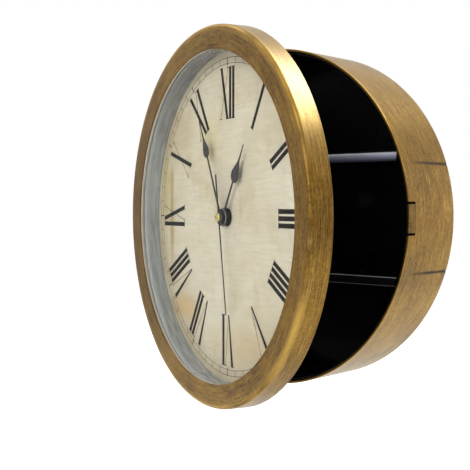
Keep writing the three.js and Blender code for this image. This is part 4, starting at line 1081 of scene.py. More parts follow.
ledges = [ledge(side, height) for height in (SHELF_HEIGHT, -SHELF_HEIGHT) for side in (-1, 1)]
bosses = [rod("boss", LINER_BOSS_RADIUS, LINER_BOSS_ROOT, LINER_BOSS_END, x, z) for x, z in liner_screws]
dressed(joined("case_liner_shown", [liner_tub(), *ledges, *bosses]), black_gloss, "case_liner")
print("liner mouth radius", round(liner_inner(LINER_MOUTH), 2), "mm")

# %% [markdown]
# Two shelves rest on the ledges and make three compartments. Each is a plate whose front edge
# rolls down into a broad lip, and the lip is what shows; on the upper shelf it carries a pale
# band of painted highlight.

# %% The shelves
LIP_THICKNESS = 2.4
SHELF_ROUNDS = [1.0, 0.8, 0.6, 0.5, 0.5, 4.4]
HAIR = 1e-3


def shelf_plate(name, height):
    """A plate whose front edge rolls down into a lip, cut to the liner's width at both ends."""
    farthest = SHELF_HEIGHT + LIP_HEIGHT / 2
    front, back = LINER_MOUTH, LINER_FLOOR - GAP
    low, high = height - LIP_HEIGHT / 2, height + LIP_HEIGHT / 2
    inside, under = front + LIP_THICKNESS, high - SHELF_THICKNESS
    profile = [(front, low), (inside, low), (inside, under), (back, under), (back, high), (front, high)]
    shelf = plate(name, rounded(profile, SHELF_ROUNDS, 10), -RIM_RADIUS, RIM_RADIUS, axis=0)
    half = [math.sqrt((liner_inner(y) - GAP) ** 2 - farthest ** 2) for y in (front, back)]
    outline = [(-half[0], front - HAIR), (half[0], front - HAIR), (half[1], back), (-half[1], back)]
    return cut(shelf, plate("outline", outline, low - 1, high + 1, axis=2), "INTERSECT")


# The upper shelf's lip gets a painted highlight.
upper_gloss_with_painted_lip = gloss_black("gloss black with a painted highlight on the lip", lip=(SHELF_HEIGHT, LINER_MOUTH))
dressed(shelf_plate("upper_shelf_shown", SHELF_HEIGHT), upper_gloss_with_painted_lip, "upper_shelf")
dressed(shelf_plate("lower_shelf_shown", -SHELF_HEIGHT), black_gloss, "lower_shelf")
print("shelves", SHELF_HEIGHT, "mm above and below the middle, with lips of", LIP_HEIGHT, "mm")

# %% [markdown]
# Every screw here has a low domed head with a cross recess, which a driver centres itself in.
# The head and shank are turned, and the cross is pressed in as two crossed slots.

# %% Screws
HEAD_FLAT, HEAD_SHOULDER = 0.62, 0.35
CROSS_LENGTH, CROSS_WIDTH, CROSS_DEPTH = 0.52, 0.12, 0.6
TIP_LENGTH = 0.8

# The radius and height of each kind of head, and the radius of its shank.
LINER_SCREW, COVER_SCREW, LEAF_SCREW = (3.2, 1.0, 1.3), (2.6, 1.4, 1.2), (2.4, 1.2, 1.1)


def screw(node, sizes, tip, top, centre, axis=1, sign=1, on_door=False):
    """A screw along an axis, from its tip to its head's top. Sign is the way that its head faces."""
    radius, height, shank = sizes
    under = top - sign * height
    corners = [(0, top), (radius * HEAD_FLAT, top), (radius, under + sign * height * HEAD_SHOULDER),
               (radius, under), (shank, under), (shank, tip + sign * TIP_LENGTH), (0.05, tip), (0, tip)]
    rounds = [0, radius * 0.5, height * 0.25, 0.08, 0.1, 0.1, 0.02, 0]
    made = turned(f"{node}_shown", half_outline(corners, rounds, 4), axis, centre, on_door, 32)
    others = [k for k in range(3) if k != axis]
    for long, short in (others, others[::-1]):
        reach = np.zeros(3)
        reach[long], reach[short] = radius * CROSS_LENGTH, radius * CROSS_WIDTH
        low_corner, high_corner = centre - reach, centre + reach
        low_corner[axis], high_corner[axis] = sorted((top - sign * height * CROSS_DEPTH, top + sign))
        made = cut(made, block("cross", low_corner, high_corner, on_door))
    return dressed(made, screw_steel, node)


HINGE_X = -120.5
CASE_LEAF_Y = -37.8
cover_screws = screw_places(119.95, 30, 6)
for number, (x, z) in enumerate(liner_screws, 1):
    screw(f"liner_screw_{number}", LINER_SCREW, tip=-7.5, top=-0.1, centre=(x, 0, z))
for number, (x, z) in enumerate(cover_screws, 1):
    screw(f"rear_cover_screw_{number}", COVER_SCREW, tip=-8.7, top=1.7, centre=(x, 0, z), on_door=True)
for number, z in ((1, 16.3), (2, -16.3)):
    screw(f"door_hinge_screw_{number}", COVER_SCREW, tip=-7.0, top=3.4, centre=(HINGE_X, 0, z),
          on_door=True)
for number, z in ((1, 9.0), (2, -9.0)):
    screw(f"case_hinge_screw_{number}", LEAF_SCREW, tip=-112.0, top=-118.7,
          centre=(0, CASE_LEAF_Y, z), axis=0, sign=-1)
print("14 screws made")

# %% [markdown]
# The hinge is a pressed steel leaf on the tub's side, another on the back of the door, and
# a pin with a small head through their knuckles. A knuckle is the leaf's own metal rolled
# round the pin.

# %% The hinge
PIN_Y, PIN_DOOR_Y = -49.6, 5.0
PIN_RADIUS, PIN_HALF, PIN_BORE = 1.25, 12.3, 1.55
PIN_HEAD_RADIUS, PIN_HEAD_TOP = 2.2, 13.1
KNUCKLE_RADIUS = 3.0
CASE_KNUCKLE = (4.3, 12.0)
DOOR_KNUCKLE_HALF = 4
LEAF_THICKNESS = 1.4
LEAF_SOFTNESS = 0.3
CASE_LEAF_HALF = (14, 10)
DOOR_LEAF_HALF = (3.5, 20.3)
WEB_HALF = 1.5


def knuckle(low, high, y, on_door=False):
    """A rolled barrel about the pin: a short upright tube with soft ends."""
    outline = rounded(rectangle(PIN_BORE, KNUCKLE_RADIUS, low, high), [0.1, 0.3, 0.3, 0.1])
    return ring("barrel", outline, on_door, steps=48, axis=2, centre=(HINGE_X, y, 0))


def case_leaf():
    """A slab hollowed to the tub's round, with a barrel and a web above and below the middle."""
    wall = RIM_RADIUS + GAP
    half_height, half_width = CASE_LEAF_HALF
    leaf_front, leaf_back = rim_front + 2.2, rim_front + 2.2 + 2 * half_width
    slab = block("slab", (-wall - LEAF_THICKNESS, leaf_front, -half_height),
                 (-wall / 2, leaf_back, half_height))
    hollow = rod("hollow", wall, rim_front - TOOL_REACH, 0, steps=RING_STEPS)
    parts = [cut(softened(slab, LEAF_SOFTNESS), hollow)]
    for side in (-1, 1):
        low, high = sorted(side * end for end in CASE_KNUCKLE)
        web = block("web", (HINGE_X + 1.8, PIN_Y - WEB_HALF, low + 0.1),
                    (-wall - 0.6, PIN_Y + WEB_HALF, high - 0.1))
        parts += [knuckle(low, high, PIN_Y), web]
    return joined("case_hinge_leaf_shown", parts)


def door_leaf():
    """A strip on the back of the door, with one barrel on a web in its middle."""
    half_width, half_height = DOOR_LEAF_HALF
    strip = block("strip", (HINGE_X - half_width, GAP, -half_height),
                  (HINGE_X + half_width, GAP + LEAF_THICKNESS, half_height), True)
    web = block("web", (HINGE_X - WEB_HALF, 1.0, -DOOR_KNUCKLE_HALF + 0.1),
                (HINGE_X + WEB_HALF, PIN_DOOR_Y - 1.8, DOOR_KNUCKLE_HALF - 0.1), True)
    barrel = knuckle(-DOOR_KNUCKLE_HALF, DOOR_KNUCKLE_HALF, PIN_DOOR_Y, True)
    return joined("door_hinge_leaf_shown", [softened(strip, LEAF_SOFTNESS), web, barrel])


def hinge_pin():
    """A pin that stands upright, with a head on top."""
    corners = [(0, -PIN_HALF), (PIN_RADIUS, -PIN_HALF), (PIN_RADIUS, PIN_HALF),
               (PIN_HEAD_RADIUS, PIN_HALF), (PIN_HEAD_RADIUS, PIN_HEAD_TOP), (0, PIN_HEAD_TOP)]
    outline = half_outline(corners, [0, 0.4, 0.05, 0.2, 0.35, 0], 4)
    return turned("hinge_pin_shown", outline, 2, (HINGE_X, PIN_Y, 0), steps=32)


dressed(case_leaf(), hinge_steel, "case_hinge_leaf")
dressed(door_leaf(), hinge_steel, "door_hinge_leaf")
dressed(hinge_pin(), hinge_steel, "hinge_pin")
print("hinge made at x", HINGE_X, "mm")

# %% [markdown]
# The bezel is the broad gold ring round the pane. Its front face is nearly flat, its outer edge
# turns over in a bright round, and a thin lip stands in front of the pane. From behind it is
# hollow, which saves material and keeps the moulding from sinking. A pale bead lies behind the
# lip and lines the pane's edge, and shows as a fine light line inside the gold.

# %% The bezel
LIP_RADIUS = DOOR_RADIUS - 16.4
SEAT_RADIUS = LIP_RADIUS + 2.7
BEZEL_WALL = 2.4
BEZEL_LIP = 0.9
SPACER_BACK = -2.1
BEAD_BACK = -11.3
BEAD_THICKNESS = 0.12
bezel_corners = [(DOOR_RADIUS, 0), (DOOR_RADIUS, DOOR_FRONT), (LIP_RADIUS, DOOR_FRONT),
                 (LIP_RADIUS, DOOR_FRONT + BEZEL_LIP), (SEAT_RADIUS, DOOR_FRONT + BEZEL_LIP),
                 (SEAT_RADIUS, SPACER_BACK), (SEAT_RADIUS + 2, SPACER_BACK),
                 (SEAT_RADIUS + 2, DOOR_FRONT + BEZEL_WALL),
                 (DOOR_RADIUS - BEZEL_WALL, DOOR_FRONT + BEZEL_WALL), (DOOR_RADIUS - BEZEL_WALL, 0)]
bezel_outline = rounded(bezel_corners, [0.5, 2.6, 0.6, 0.2, 0.1, 0.2, 0.2, 0.5, 0.5, 0.3], 8)
bezel = dressed(ring("bezel_ring_shown", bezel_outline, True), bezel_gold, "bezel_ring")
bead_front, bead_step = DOOR_FRONT + 0.95, DOOR_FRONT + 2.2
bead_inner, bead_outer = LIP_RADIUS + 0.1, SEAT_RADIUS - 0.05
bead_corners = [(bead_inner, bead_front), (bead_outer, bead_front), (bead_outer, BEAD_BACK),
                (bead_outer - BEAD_THICKNESS, BEAD_BACK), (bead_outer - BEAD_THICKNESS, bead_step),
                (bead_inner, bead_step)]
bead_outline = rounded(bead_corners, [0.1, 0.1, 0.03, 0.03, 0.05, 0.3])
added(ring("bezel_bead", bead_outline, True), bead_white, "bezel_ring")
print("bezel:", len(bezel.data.polygons), "faces, face", round(DOOR_RADIUS - LIP_RADIUS, 2), "mm wide")

# %% [markdown]
# Behind the lip lies the pane, a plain disc with ground edges. A pale ring holds it forward of
# the dial, and its inner face slopes in towards the dial, so it shows as a broad grey band.

# %% The pane and the ring behind it
PANE_RADIUS = LIP_RADIUS + 2.4
PANE_FRONT, PANE_BACK = -13.5, -11.5
SPACER_FRONT = -11.2
SPACER_FOOT = 0.5
DIAL_RADIUS = door_box("dial_plate")[1][0]
pane_outline = half_outline(rectangle(0, PANE_RADIUS, PANE_FRONT, PANE_BACK), [0, 0.35, 0.35, 0], 3)
pane = turned("front_glass_shown", pane_outline, 1, (0, 0, 0), True, RING_STEPS)
dressed(pane, glass_finish, "front_glass")
spacer_corners = [(PANE_RADIUS - 1, SPACER_FRONT), (PANE_RADIUS, SPACER_FRONT),
                  (PANE_RADIUS, SPACER_BACK), (DIAL_RADIUS, SPACER_BACK),
                  (DIAL_RADIUS, SPACER_FOOT), (DIAL_RADIUS - 0.9, SPACER_FOOT)]
spacer = ring("spacer_ring_shown", rounded(spacer_corners, 0.12, 3), True)
dressed(spacer, spacer_grey, "spacer_ring")
print("pane radius", PANE_RADIUS, "mm, dial radius", round(DIAL_RADIUS, 2), "mm")

# %% [markdown]
# The dial is a thin disc with printed paper on it. The numerals stand on a ring and point
# outwards, four is written IIII as on most clocks, and each is drawn with thick bars, hairlines
# and short hairline serifs. The printed marks lie a few hundredths of a millimetre proud.

# %% The dial and its numerals
DIAL_FACE, DIAL_BACK = 0.8, 1.6
DIAL_BORE = 4.3
DIAL_FACE_LENGTH = 20
INK, INK_ROOT, INK_LAYER = 0.03, 0.02, 0.004
NUMERAL_LOW, NUMERAL_HIGH = 66.0, 100.8
THICK, THIN = 3.05, 0.42
SERIF_SWELLING = (0.62, 1.6)
SERIF_HEIGHT = 0.7
ADVANCE = {"I": 4.4, "V": 11.6, "X": 11.8}
NUMERALS = ["XII", "I", "II", "III", "IIII", "V", "VI", "VII", "VIII", "IX", "X", "XI"]

# A letter's strokes: how far its foot and its head stand aside, and its width at each.
STROKES = {"I": [(0, 0, THICK, THICK)],
           "V": [(0.4, -4.6, 1.2, THICK), (0.9, 4.8, THIN, THIN)],
           "X": [(4.2, -4.2, THICK, THICK), (-5.2, 5.2, THIN, THIN)]}

# A letter's serifs: how far each stands aside, whether it is at the head, and half its length.
SERIFS = {"I": [(0, False, 2.3), (0, True, 2.3)],
          "V": [(-4.6, True, 2.4), (4.8, True, 1.3)],
          "X": [(4.2, False, 2.3), (-4.2, True, 2.3), (-5.2, False, 1.3), (5.2, True, 1.3)]}


def stroke(foot, head, foot_width, head_width):
    """A straight stroke from the foot of a numeral to its head, with a width across at each."""
    return [(foot - foot_width / 2, NUMERAL_LOW), (foot + foot_width / 2, NUMERAL_LOW),
            (head + head_width / 2, NUMERAL_HIGH), (head - head_width / 2, NUMERAL_HIGH)]


def serif(middle, at_head, half):
    """A short hairline across a stroke's end, with a small swelling in its middle."""
    edge, inward = (NUMERAL_HIGH, -THIN) if at_head else (NUMERAL_LOW, THIN)
    swelling = half * SERIF_SWELLING[0]
    ends, crest = edge + inward * SERIF_HEIGHT, edge + inward * SERIF_SWELLING[1]
    return [(middle - half, edge), (middle + half, edge), (middle + half, ends),
            (middle + swelling, crest), (middle - swelling, crest), (middle - half, ends)]


def numeral_strokes(text):
    """Outlines of one numeral, centred on its own middle line, with its feet at low radius."""
    widths = np.array([ADVANCE[letter] for letter in text])
    middles = np.cumsum(widths) - widths / 2 - widths.sum() / 2
    outlines = []
    for letter, middle in zip(text, middles):
        outlines += [stroke(middle + foot, middle + head, *width) for foot, head, *width in STROKES[letter]]
        outlines += [serif(middle + aside, *rest) for aside, *rest in SERIFS[letter]]
    return outlines


def printed(name, outlines, material):
    """Flat printed marks: every outline becomes a thin solid that stands on the dial's face."""
    points, faces = [], []
    for layer, outline in enumerate(outlines):
        count, start = len(outline), len(points)
        proud = DIAL_FACE - INK - INK_LAYER * (layer % 4)
        points += [(x, proud, z) for x, z in outline]
        points += [(x, DIAL_FACE + INK_ROOT, z) for x, z in outline]
        front, back = np.arange(start, start + count), np.arange(start + count, start + 2 * count)
        faces += [front, back, *np.stack([front, np.roll(front, -1), np.roll(back, -1), back], -1)]
    faces = [[int(corner) for corner in face] for face in faces]
    return added(mesh_object(name, points, faces, True), material, "dial_plate")


def turned_to(outline, degrees):
    """An outline turned clockwise as seen from the front: x cos + z sin and z cos - x sin."""
    c, s = math.cos(math.radians(degrees)), math.sin(math.radians(degrees))
    return [(x * c + z * s, z * c - x * s) for x, z in outline]


dial_corners = rectangle(DIAL_BORE, DIAL_RADIUS, DIAL_FACE, DIAL_BACK)
dial = ring("dial_plate_shown", divided(rounded(dial_corners, 0.08, 2), DIAL_FACE_LENGTH), True)
dressed(dial, paper_finish, "dial_plate")
numeral_outlines = [turned_to(outline, 30 * hour) for hour, text in enumerate(NUMERALS)
                    for outline in numeral_strokes(text)]
printed("dial_numerals", numeral_outlines, numeral_ink)
print(len(numeral_outlines), "strokes and serifs in twelve numerals")

# %% [markdown]
# Outside the numerals runs the minute track: two fine rings with a tick across for each minute,
# printed in brown.

# %% The minute track
TRACK_LOW, TRACK_HIGH = 103.1, 107.0
TRACK_LINE = 0.36
HOUR_TICK, MINUTE_TICK = (0.45, TRACK_LOW - 1.2), (0.24, TRACK_LOW)


def track_ring(name, radius):
    """One fine printed ring."""
    half = TRACK_LINE / 2
    corners = rectangle(radius - half, radius + half, DIAL_FACE - INK, DIAL_FACE + INK_ROOT)
    return added(ring(name, corners, True), track_ink, "dial_plate")


def tick(minute):
    """A mark across the track, broader and longer inwards at every fifth minute."""
    half, low_end = MINUTE_TICK if minute % 5 else HOUR_TICK
    return turned_to(rectangle(-half, half, low_end, TRACK_HIGH), 6 * minute)


track_ring("minute_track_inner", TRACK_LOW)
track_ring("minute_track_outer", TRACK_HIGH)
ticks = [tick(minute) for minute in range(60)]
printed("minute_track_marks", ticks, track_ink)
print(len(ticks), "ticks in the minute track")

# %% [markdown]
# The hands are pressed from thin sheet: a slim stalk, a drop-shaped leaf and a long point. The
# press leaves their edges a little round. Each is gripped by a collet that fits its own tube,
# and a brass cap finishes the seconds arbor.

# %% The hands
HAND_SHEET = 0.5
HAND_EDGE = 0.12
TIP_HALF, STALK_HALF = 0.25, 0.75
NEEDLE_TIP, NEEDLE_HALF = 0.35, 0.65
HUB_JOIN = 1.0
LEAF_WAIST = 0.3
HAND_BORE_STEPS = 32


def smooth_arc(start, control, end, steps=14):
    """Points of a curve that leaves start towards control and reaches end from it."""
    share = np.linspace(0, 1, steps + 1)[:, None]
    start, control, end = (np.array(point, float) for point in (start, control, end))
    return (1 - share) ** 2 * start + 2 * share * (1 - share) * control + share ** 2 * end


def round_the_hub(hub, start, end, steps=40):
    """Points on the hub's edge from one distance aside of the middle line round to another."""
    first, last = math.asin(start / hub), math.pi - math.asin(end / hub)
    turn = np.linspace(first, last, steps)
    return np.stack([hub * np.sin(turn), hub * np.cos(turn)], -1)


def mirrored(right):
    """A closed outline from its right half, which runs from the top to the bottom."""
    right = np.array(right, float)
    return np.concatenate([right, right[::-1] * (-1, 1)])


def leaf_outline(length, widest, hub, shares):
    """A leaf hand that points up: a long tip, a drop-shaped leaf, a slim stalk and a round hub.

    The shares of its length are where the stalk ends, where the leaf is widest, and where the
    leaf has narrowed to the point's width.
    """
    start, middle, end = (share * length for share in shares)
    waist = (widest * LEAF_WAIST, (middle + end) / 2)
    leaf = [smooth_arc((STALK_HALF, end), waist, (widest / 2, middle)),
            smooth_arc((widest / 2, middle), (widest / 2, start), (STALK_HALF, start))[1:]]
    return mirrored(np.concatenate([[(TIP_HALF, length)], *leaf, round_the_hub(hub, HUB_JOIN, 0.01)]))


def needle_outline(length, tail, hub):
    """A needle that points up, with a round hub and a straight tail."""
    sides = round_the_hub(hub, NEEDLE_HALF, NEEDLE_HALF)
    return mirrored([(NEEDLE_TIP, length), *sides, (NEEDLE_HALF, -tail)])


def hand(node, outline, bore, front, degrees):
    """A flat hand with a bore, cut from sheet and softened at its edges."""
    back = front + HAND_SHEET
    blade = plate(f"{node}_shown", turned_to(outline, degrees), front, back, True)
    blade = cut(blade, rod("bore", bore, front - 1, back + 1, on_door=True, steps=HAND_BORE_STEPS))
    return dressed(softened(blade, HAND_EDGE, 2), hand_black, node)


def collet(name, node, inner, outer, front, back):
    """A short bright collar on a hand's hub."""
    outline = rounded(rectangle(inner, outer, front, back), [0.08, 0.15, 0.05, 0.05])
    return added(ring(name, outline, True, steps=64), collet_steel, node)


HOUR_FRONT, MINUTE_FRONT, SECOND_FRONT = -3.2, -4.7, -6.2
COLLET_HEIGHT = 0.45
hour_outline = leaf_outline(length=55.3, widest=9.4, hub=6.2, shares=(0.50, 0.60, 0.78))
minute_outline = leaf_outline(length=75.0, widest=7.8, hub=5.6, shares=(0.61, 0.68, 0.80))
second_outline = needle_outline(length=65.6, tail=29.0, hub=2.1)
hand("hour_hand", hour_outline, bore=2.4, front=HOUR_FRONT, degrees=31)
hand("minute_hand", minute_outline, bore=1.45, front=MINUTE_FRONT, degrees=334.5)
hand("second_hand", second_outline, bore=0.75, front=SECOND_FRONT, degrees=171)
collet("hour_collet", "hour_hand", 2.35, 5.8, HOUR_FRONT - COLLET_HEIGHT, HOUR_FRONT)
collet("minute_collet", "minute_hand", 1.4, 2.3, MINUTE_FRONT - COLLET_HEIGHT, MINUTE_FRONT)
cap_corners = [(0, -6.5), (3.1, -6.5), (3.1, -7.0), (2.6, -7.7), (1.3, -8.0), (0, -8.0)]
cap_outline = half_outline(cap_corners, [0, 0.12, 0.25, 0.8, 1.2, 0])
cap = turned("second_hand_cap_shown", cap_outline, 1, (0, 0, 0), True, 64)
dressed(cap, brass, "second_hand_cap")
print("hands at 31, 334.5 and 171 degrees")

# %% [markdown]
# A dished black cover closes the door from behind. It presses the dial and the grey ring
# forward, it plugs the tub's mouth so that the door sits true, and its moulded hook reaches
# behind the tongue's ridge.

# %% The back cover
PLUG_RADIUS = 113.1
FLANGE_RADIUS = 124.3
COVER_WALL = 0.9
FLANGE_FRONT = -1.8
COVER_FLOOR = (1.9, 3.4)
HOOK_HALF = 5
cover_front, cover_rear = COVER_FLOOR
cover_corners = [(DIAL_BORE, cover_front), (PLUG_RADIUS - COVER_WALL, cover_front),
                 (PLUG_RADIUS - COVER_WALL, FLANGE_FRONT), (FLANGE_RADIUS, FLANGE_FRONT),
                 (FLANGE_RADIUS, 0), (PLUG_RADIUS, 0), (PLUG_RADIUS, cover_rear - 2),
                 (PLUG_RADIUS - 2, cover_rear), (DIAL_BORE, cover_rear)]
cover_outline = divided(rounded(cover_corners, [0.1, 0.5, 0.1, 0.2, 0.4, 0.3, 0.8, 0.8, 0.2]), 18)
cover = ring("rear_cover_shown", cover_outline, True)
hook_outline = [(108.8, 3.0), (110.6, 3.0), (110.6, 4.9), (111.8, 4.9), (110.6, 6.7), (108.8, 6.7)]
hook = softened(plate("hook", hook_outline, -HOOK_HALF, HOOK_HALF, True, axis=2), 0.2, 2)
dressed(joined("rear_cover_shown", [cover, hook]), black_plastic, "rear_cover")
print("cover reaches", round(door_box("rear_cover")[1][1], 2), "mm behind the bezel")

# %% [markdown]
# The movement is the usual square quartz works: a moulded box with soft corners, a snapped-in
# cover over the wheels, an open bay for one cell with a spring at each end, and a ribbed knob
# that sets the hands. A threaded neck on the box goes through the dial and takes the nut.

# %% The movement's box and cover
HALF = 28.0
WALL = 1.2
BAY_TOP = -12.0
BOX_FRONT, BOX_BACK = 3.7, 17.2
COVER_SHEET = 1.2
BOX_CORNER, ROOM_CORNER, COVER_CORNER = 3, 0.6, 0.8
NECK_RADIUS, NECK_FRONT = 4.0, -2.2
NECK_BORE = 2.4
KNOB_HEIGHT, KNOB_HOLE = 12.0, 1.2
GROOVE_X = (-20.0, 20.0)


def square_outline(low_corner, high_corner, radius):
    """A rectangle of x and z with round corners."""
    (x0, z0), (x1, z1) = low_corner, high_corner
    return rounded(rectangle(x0, x1, z0, z1), radius, 8)


def movement_box():
    """The box, with its two rooms cut out, its neck joined on and the neck's bore cut through."""
    outline = square_outline((-HALF, -HALF), (HALF, HALF), BOX_CORNER)
    box = softened(plate("movement_case_shown", outline, BOX_FRONT, BOX_BACK, True), 0.5, 3)
    inner = HALF - WALL
    for floor, ceiling in ((-inner, BAY_TOP), (BAY_TOP + WALL, inner)):
        room = square_outline((-inner, floor), (inner, ceiling), ROOM_CORNER)
        box = cut(box, plate("room", room, BOX_FRONT + WALL, BOX_BACK + TOOL_REACH, True))
    box = cut(box, rod("neck", NECK_RADIUS, NECK_FRONT, BOX_FRONT + 0.6, on_door=True), "UNION")
    return cut(box, rod("bore", NECK_BORE, -4, 7, on_door=True))


def works_cover():
    """A sheet over the wheels' room, with a hole for the knob's arbor and two shallow grooves."""
    reach = HALF - WALL - GAP
    outline = square_outline((-reach, BAY_TOP + WALL + GAP), (reach, reach), COVER_CORNER)
    sheet = plate("movement_cover_shown", outline, BOX_BACK - COVER_SHEET, BOX_BACK, True)
    hole = rod("hole", KNOB_HOLE, 15, 19, z=KNOB_HEIGHT, on_door=True, steps=32)
    sheet = cut(softened(sheet, 0.3, 2), hole)
    for x in GROOVE_X:
        sheet = cut(sheet, block("groove", (x - 4, BOX_BACK - 0.5, 8), (x + 4, 18, 8.6), True))
    return sheet


dressed(movement_box(), movement_plastic, "movement_case")
dressed(works_cover(), movement_plastic, "movement_cover")
print("movement box", 2 * HALF, "mm square")

# %% [markdown]
# The setting knob is white and round, with soft ribs that a fingertip grips and a dimple in its
# end. Its ribs come from a radius that swells and shrinks as a cosine.

# %% The setting knob
KNOB_RADIUS, RIB_HEIGHT, RIBS = 4.8, 0.2, 20
KNOB_FRONT, KNOB_BACK = 17.5, 20.5
DIMPLE = [(0, 20.1), (3.2, 20.1), (3.4, 21), (0, 21)]


def knob_shape():
    """A round knob whose radius is its own plus the ribs' height times the cosine of the ribs."""
    turn = np.linspace(0, math.tau, 240, endpoint=False)
    radius = KNOB_RADIUS + RIB_HEIGHT * np.cos(RIBS * turn)
    outline = np.stack([radius * np.cos(turn), KNOB_HEIGHT + radius * np.sin(turn)], -1)
    made = softened(plate("setting_knob_shown", outline, KNOB_FRONT, KNOB_BACK, True), 0.4)
    bore = rod("bore", KNOB_HOLE, KNOB_FRONT - 0.5, 19.3, z=KNOB_HEIGHT, on_door=True, steps=32)
    dimple = turned("dimple", DIMPLE, 1, (0, 0, KNOB_HEIGHT), True, 64)
    return cut(cut(made, bore), dimple)


dressed(knob_shape(), white_plastic, "setting_knob")
print("knob with", RIBS, "ribs")

# %% [markdown]
# The nut and its washer sit in front of the dial. The nut's corners are chamfered on a cone, as
# turned nuts are: a hexagon is cut down to what it shares with a turned shape.

# %% Washer and nut
WASHER_RADIUS, WASHER_BACK = 6.3, 0.5
NUT_RADIUS = 5.8
NUT_FRONT, NUT_BACK = -1.9, -0.3
NUT_CONE = [(0, NUT_FRONT), (4.8, NUT_FRONT), (NUT_RADIUS, -1.0), (NUT_RADIUS, -0.7), (5.4, NUT_BACK),
            (0, NUT_BACK)]
washer_outline = rounded(rectangle(DIAL_BORE, WASHER_RADIUS, 0, WASHER_BACK), 0.12, 3)
washer = ring("dial_washer_shown", washer_outline, True, steps=96)
dressed(washer, collar_steel, "dial_washer")
six = np.radians(30 + 60 * np.arange(6))
hexagon = np.stack([NUT_RADIUS * np.cos(six), NUT_RADIUS * np.sin(six)], -1)
nut = plate("movement_nut_shown", hexagon, NUT_FRONT, NUT_BACK, True)
nut = cut(nut, turned("cone", NUT_CONE, 1, (0, 0, 0), True, 64), "INTERSECT")
nut = cut(nut, rod("bore", DIAL_BORE, -3, 1, on_door=True, steps=64))
dressed(nut, collar_steel, "movement_nut")
print("nut across corners", 2 * NUT_RADIUS, "mm")

# %% [markdown]
# The cell is drawn steel in a plain sleeve, which is rolled over at both shoulders. Its contacts
# are nickel spring strip with a pressed bump.

# %% Cell and contacts
CELL_Y, CELL_Z, CELL_RADIUS = 12.3, -19.4, 7.1
TERMINAL_RADIUS = 2.7
CONTACT_SHEET, CONTACT_CORNER = 0.5, 1.0
cell_start, cell_end = door_box("battery")[0][0], door_box("battery")[1][0]
sleeve = [(0, cell_start), (5.6, cell_start), (5.8, cell_start + 0.3), (CELL_RADIUS, cell_start + 0.3),
          (CELL_RADIUS, cell_end - 1.3), (5.4, cell_end - 1.3), (TERMINAL_RADIUS, cell_end - 1.2),
          (TERMINAL_RADIUS, cell_end), (0, cell_end)]
cell_outline = half_outline(sleeve, [0, 0.1, 0.1, 0.5, 0.6, 0.1, 0.2, 0.5, 0], 4)
cell = turned("battery_shown", cell_outline, 0, (0, CELL_Y, CELL_Z), True, 96)
dressed(cell, cell_sleeve, "battery")


def contact(node, side):
    """A strip that stands across the cell's end, with a bump that presses on it."""
    low_corner, high_corner = door_box(node)
    strip_end, tip = (high_corner[0], low_corner[0]) if side > 0 else (low_corner[0], high_corner[0])
    root = strip_end - side * CONTACT_SHEET
    outline = square_outline(low_corner[1:], high_corner[1:], CONTACT_CORNER)
    sheet = plate(f"{node}_shown", outline, *sorted((strip_end, root)), True, axis=0)
    bump = [(0, tip), (1.4, tip), (2.7, root), (2.7, root + side * 0.2), (0, root + side * 0.2)]
    bump_outline = half_outline(bump, [0, 0.5, 0.3, 0.02, 0], 4)
    middle = (0, (low_corner[1] + high_corner[1]) / 2, CELL_Z)
    dome = turned("dome", bump_outline, 0, middle, True, 48)
    return dressed(cut(softened(sheet, 0.12, 2), dome, "UNION"), contact_nickel, node)


contact("contact_positive", 1)
contact("contact_negative", -1)
print("cell", round(cell_end - cell_start, 1), "mm long")

# %% [markdown]
# The works inside the movement keep their modelled shapes: toothed wheels, magnet, stator,
# board and plate. Each gets the finish of its own material.

# %% Finishes for the works
works = {
    white_plastic: ["middle_plate", "rotor", "intermediate_wheel", "seconds_wheel", "third_wheel",
                    "minute_wheel", "motion_wheel", "hour_wheel"],
    stator_iron: ["stator"],
    circuit_green: ["circuit_board"],
    coil_copper: ["coil"],
    screw_steel: ["quartz_crystal"],
}
for finish, nodes in works.items():
    for node in nodes:
        materials = frame["nodes"][node].data.materials
        materials.clear()
        materials.append(finish)
print(sum(len(nodes) for nodes in works.values()), "works pieces dressed")

# %% [markdown]
# The object is lit as in a plain studio. The strongest lamp is broad and slightly cool. It hangs
# high behind on the right and brightens the rims' upper right. Weak ones in front, on the left
# and behind on the right fill in, and an even surround lights the rest. The camera, mirrors and
# glass see white behind the object, through the Light Path node, so no lamp has to be strong for
# the background's sake.

# %% Floor, surround and lamps
FLOOR_HEIGHT = -0.27
FLOOR_REACH = 6.0
FLOOR_GLOW = 0.64
FLOOR_MIRRORED = 0.55
SURROUND = 0.45

# Each lamp: its place, the point it faces, its side in metres, its watts and its colour.
LAMPS = {"key": ((0.2, -1.35, 0.6), (0, -0.05, 0), 0.6, 5, (1, 1, 1)),
         "left": ((-0.95, -0.15, 1.05), (0, -0.05, 0), 0.6, 2, (1, 1, 1)),
         "side": ((0.9, 1.15, 0.1), (0, -0.02, 0), 0.9, 2, (1, 1, 1)),
         "top": ((0.45, 0.5, 1.25), (0, 0, 0), 0.7, 25, (0.84, 0.93, 1.0))}


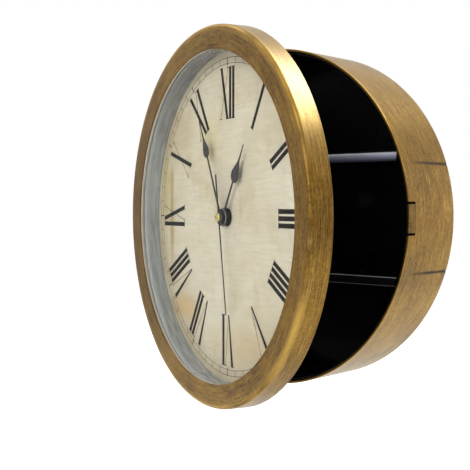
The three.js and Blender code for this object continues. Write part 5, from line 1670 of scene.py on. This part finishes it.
def pale_floor():
    """A wide pale square. It glows for the camera and glass, and a little less for reflections."""
    mesh = bpy.data.meshes.new("floor")
    corners = rectangle(-FLOOR_REACH, FLOOR_REACH, -FLOOR_REACH, FLOOR_REACH)
    mesh.from_pydata([(x, y, FLOOR_HEIGHT) for x, y in corners], [], [(0, 1, 2, 3)])
    floor = linked("floor", mesh)
    pale = Finish("pale floor", Roughness=0.9, Specular_IOR_Level=0.0, Emission_Color=(1, 1, 1, 1))
    speck = pale.noise(pale.place, scale=8, detail=3)
    pale.set("Base Color", pale.ramp(speck, (0.3, (236, 236, 236)), (0.7, (242, 242, 242))))
    rays = pale.node("ShaderNodeLightPath").outputs
    seen = pale.math("MAXIMUM", rays["Is Camera Ray"], rays["Is Transmission Ray"])
    seen = pale.math("MAXIMUM", seen, pale.times(rays["Is Glossy Ray"], FLOOR_MIRRORED))
    pale.set("Emission Strength", pale.times(seen, FLOOR_GLOW))
    floor.data.materials.append(pale.material)
    return floor


def surround(strength):
    """A world that lights evenly, and is white for what the camera sees directly or mirrored."""
    world = bpy.data.worlds.new("surround")
    bpy.context.scene.world = world
    world.use_nodes = True
    tree = world.node_tree
    background = tree.nodes["Background"]
    background.inputs["Color"].default_value = (1, 1, 1, 1)
    rays = tree.nodes.new("ShaderNodeLightPath").outputs
    seen = rays["Is Camera Ray"]
    for name in ("Is Glossy Ray", "Is Transmission Ray"):
        either = tree.nodes.new("ShaderNodeMath")
        either.operation = "MAXIMUM"
        tree.links.new(seen, either.inputs[0])
        tree.links.new(rays[name], either.inputs[1])
        seen = either.outputs[0]
    level = tree.nodes.new("ShaderNodeMapRange")
    level.inputs["To Min"].default_value = strength
    level.inputs["To Max"].default_value = 1.0
    tree.links.new(seen, level.inputs["Value"])
    tree.links.new(level.outputs[0], background.inputs["Strength"])


def soft_lamp(name, place, aim, size, watts, colour):
    """A square area lamp that faces a point."""
    data = bpy.data.lights.new(name, "AREA")
    data.shape = "SQUARE"
    data.size = size
    data.energy = watts
    data.color = colour
    lamp = linked(name, data)
    lamp.location = place
    lamp.rotation_euler = (Vector(aim) - Vector(place)).to_track_quat("-Z", "Y").to_euler()
    return lamp


pale_floor()
surround(SURROUND)
for name, settings in LAMPS.items():
    soft_lamp(name, *settings)
bpy.context.scene.view_settings.view_transform = "Standard"
print("floor at", FLOOR_HEIGHT, "m,", len(LAMPS), "lamps")
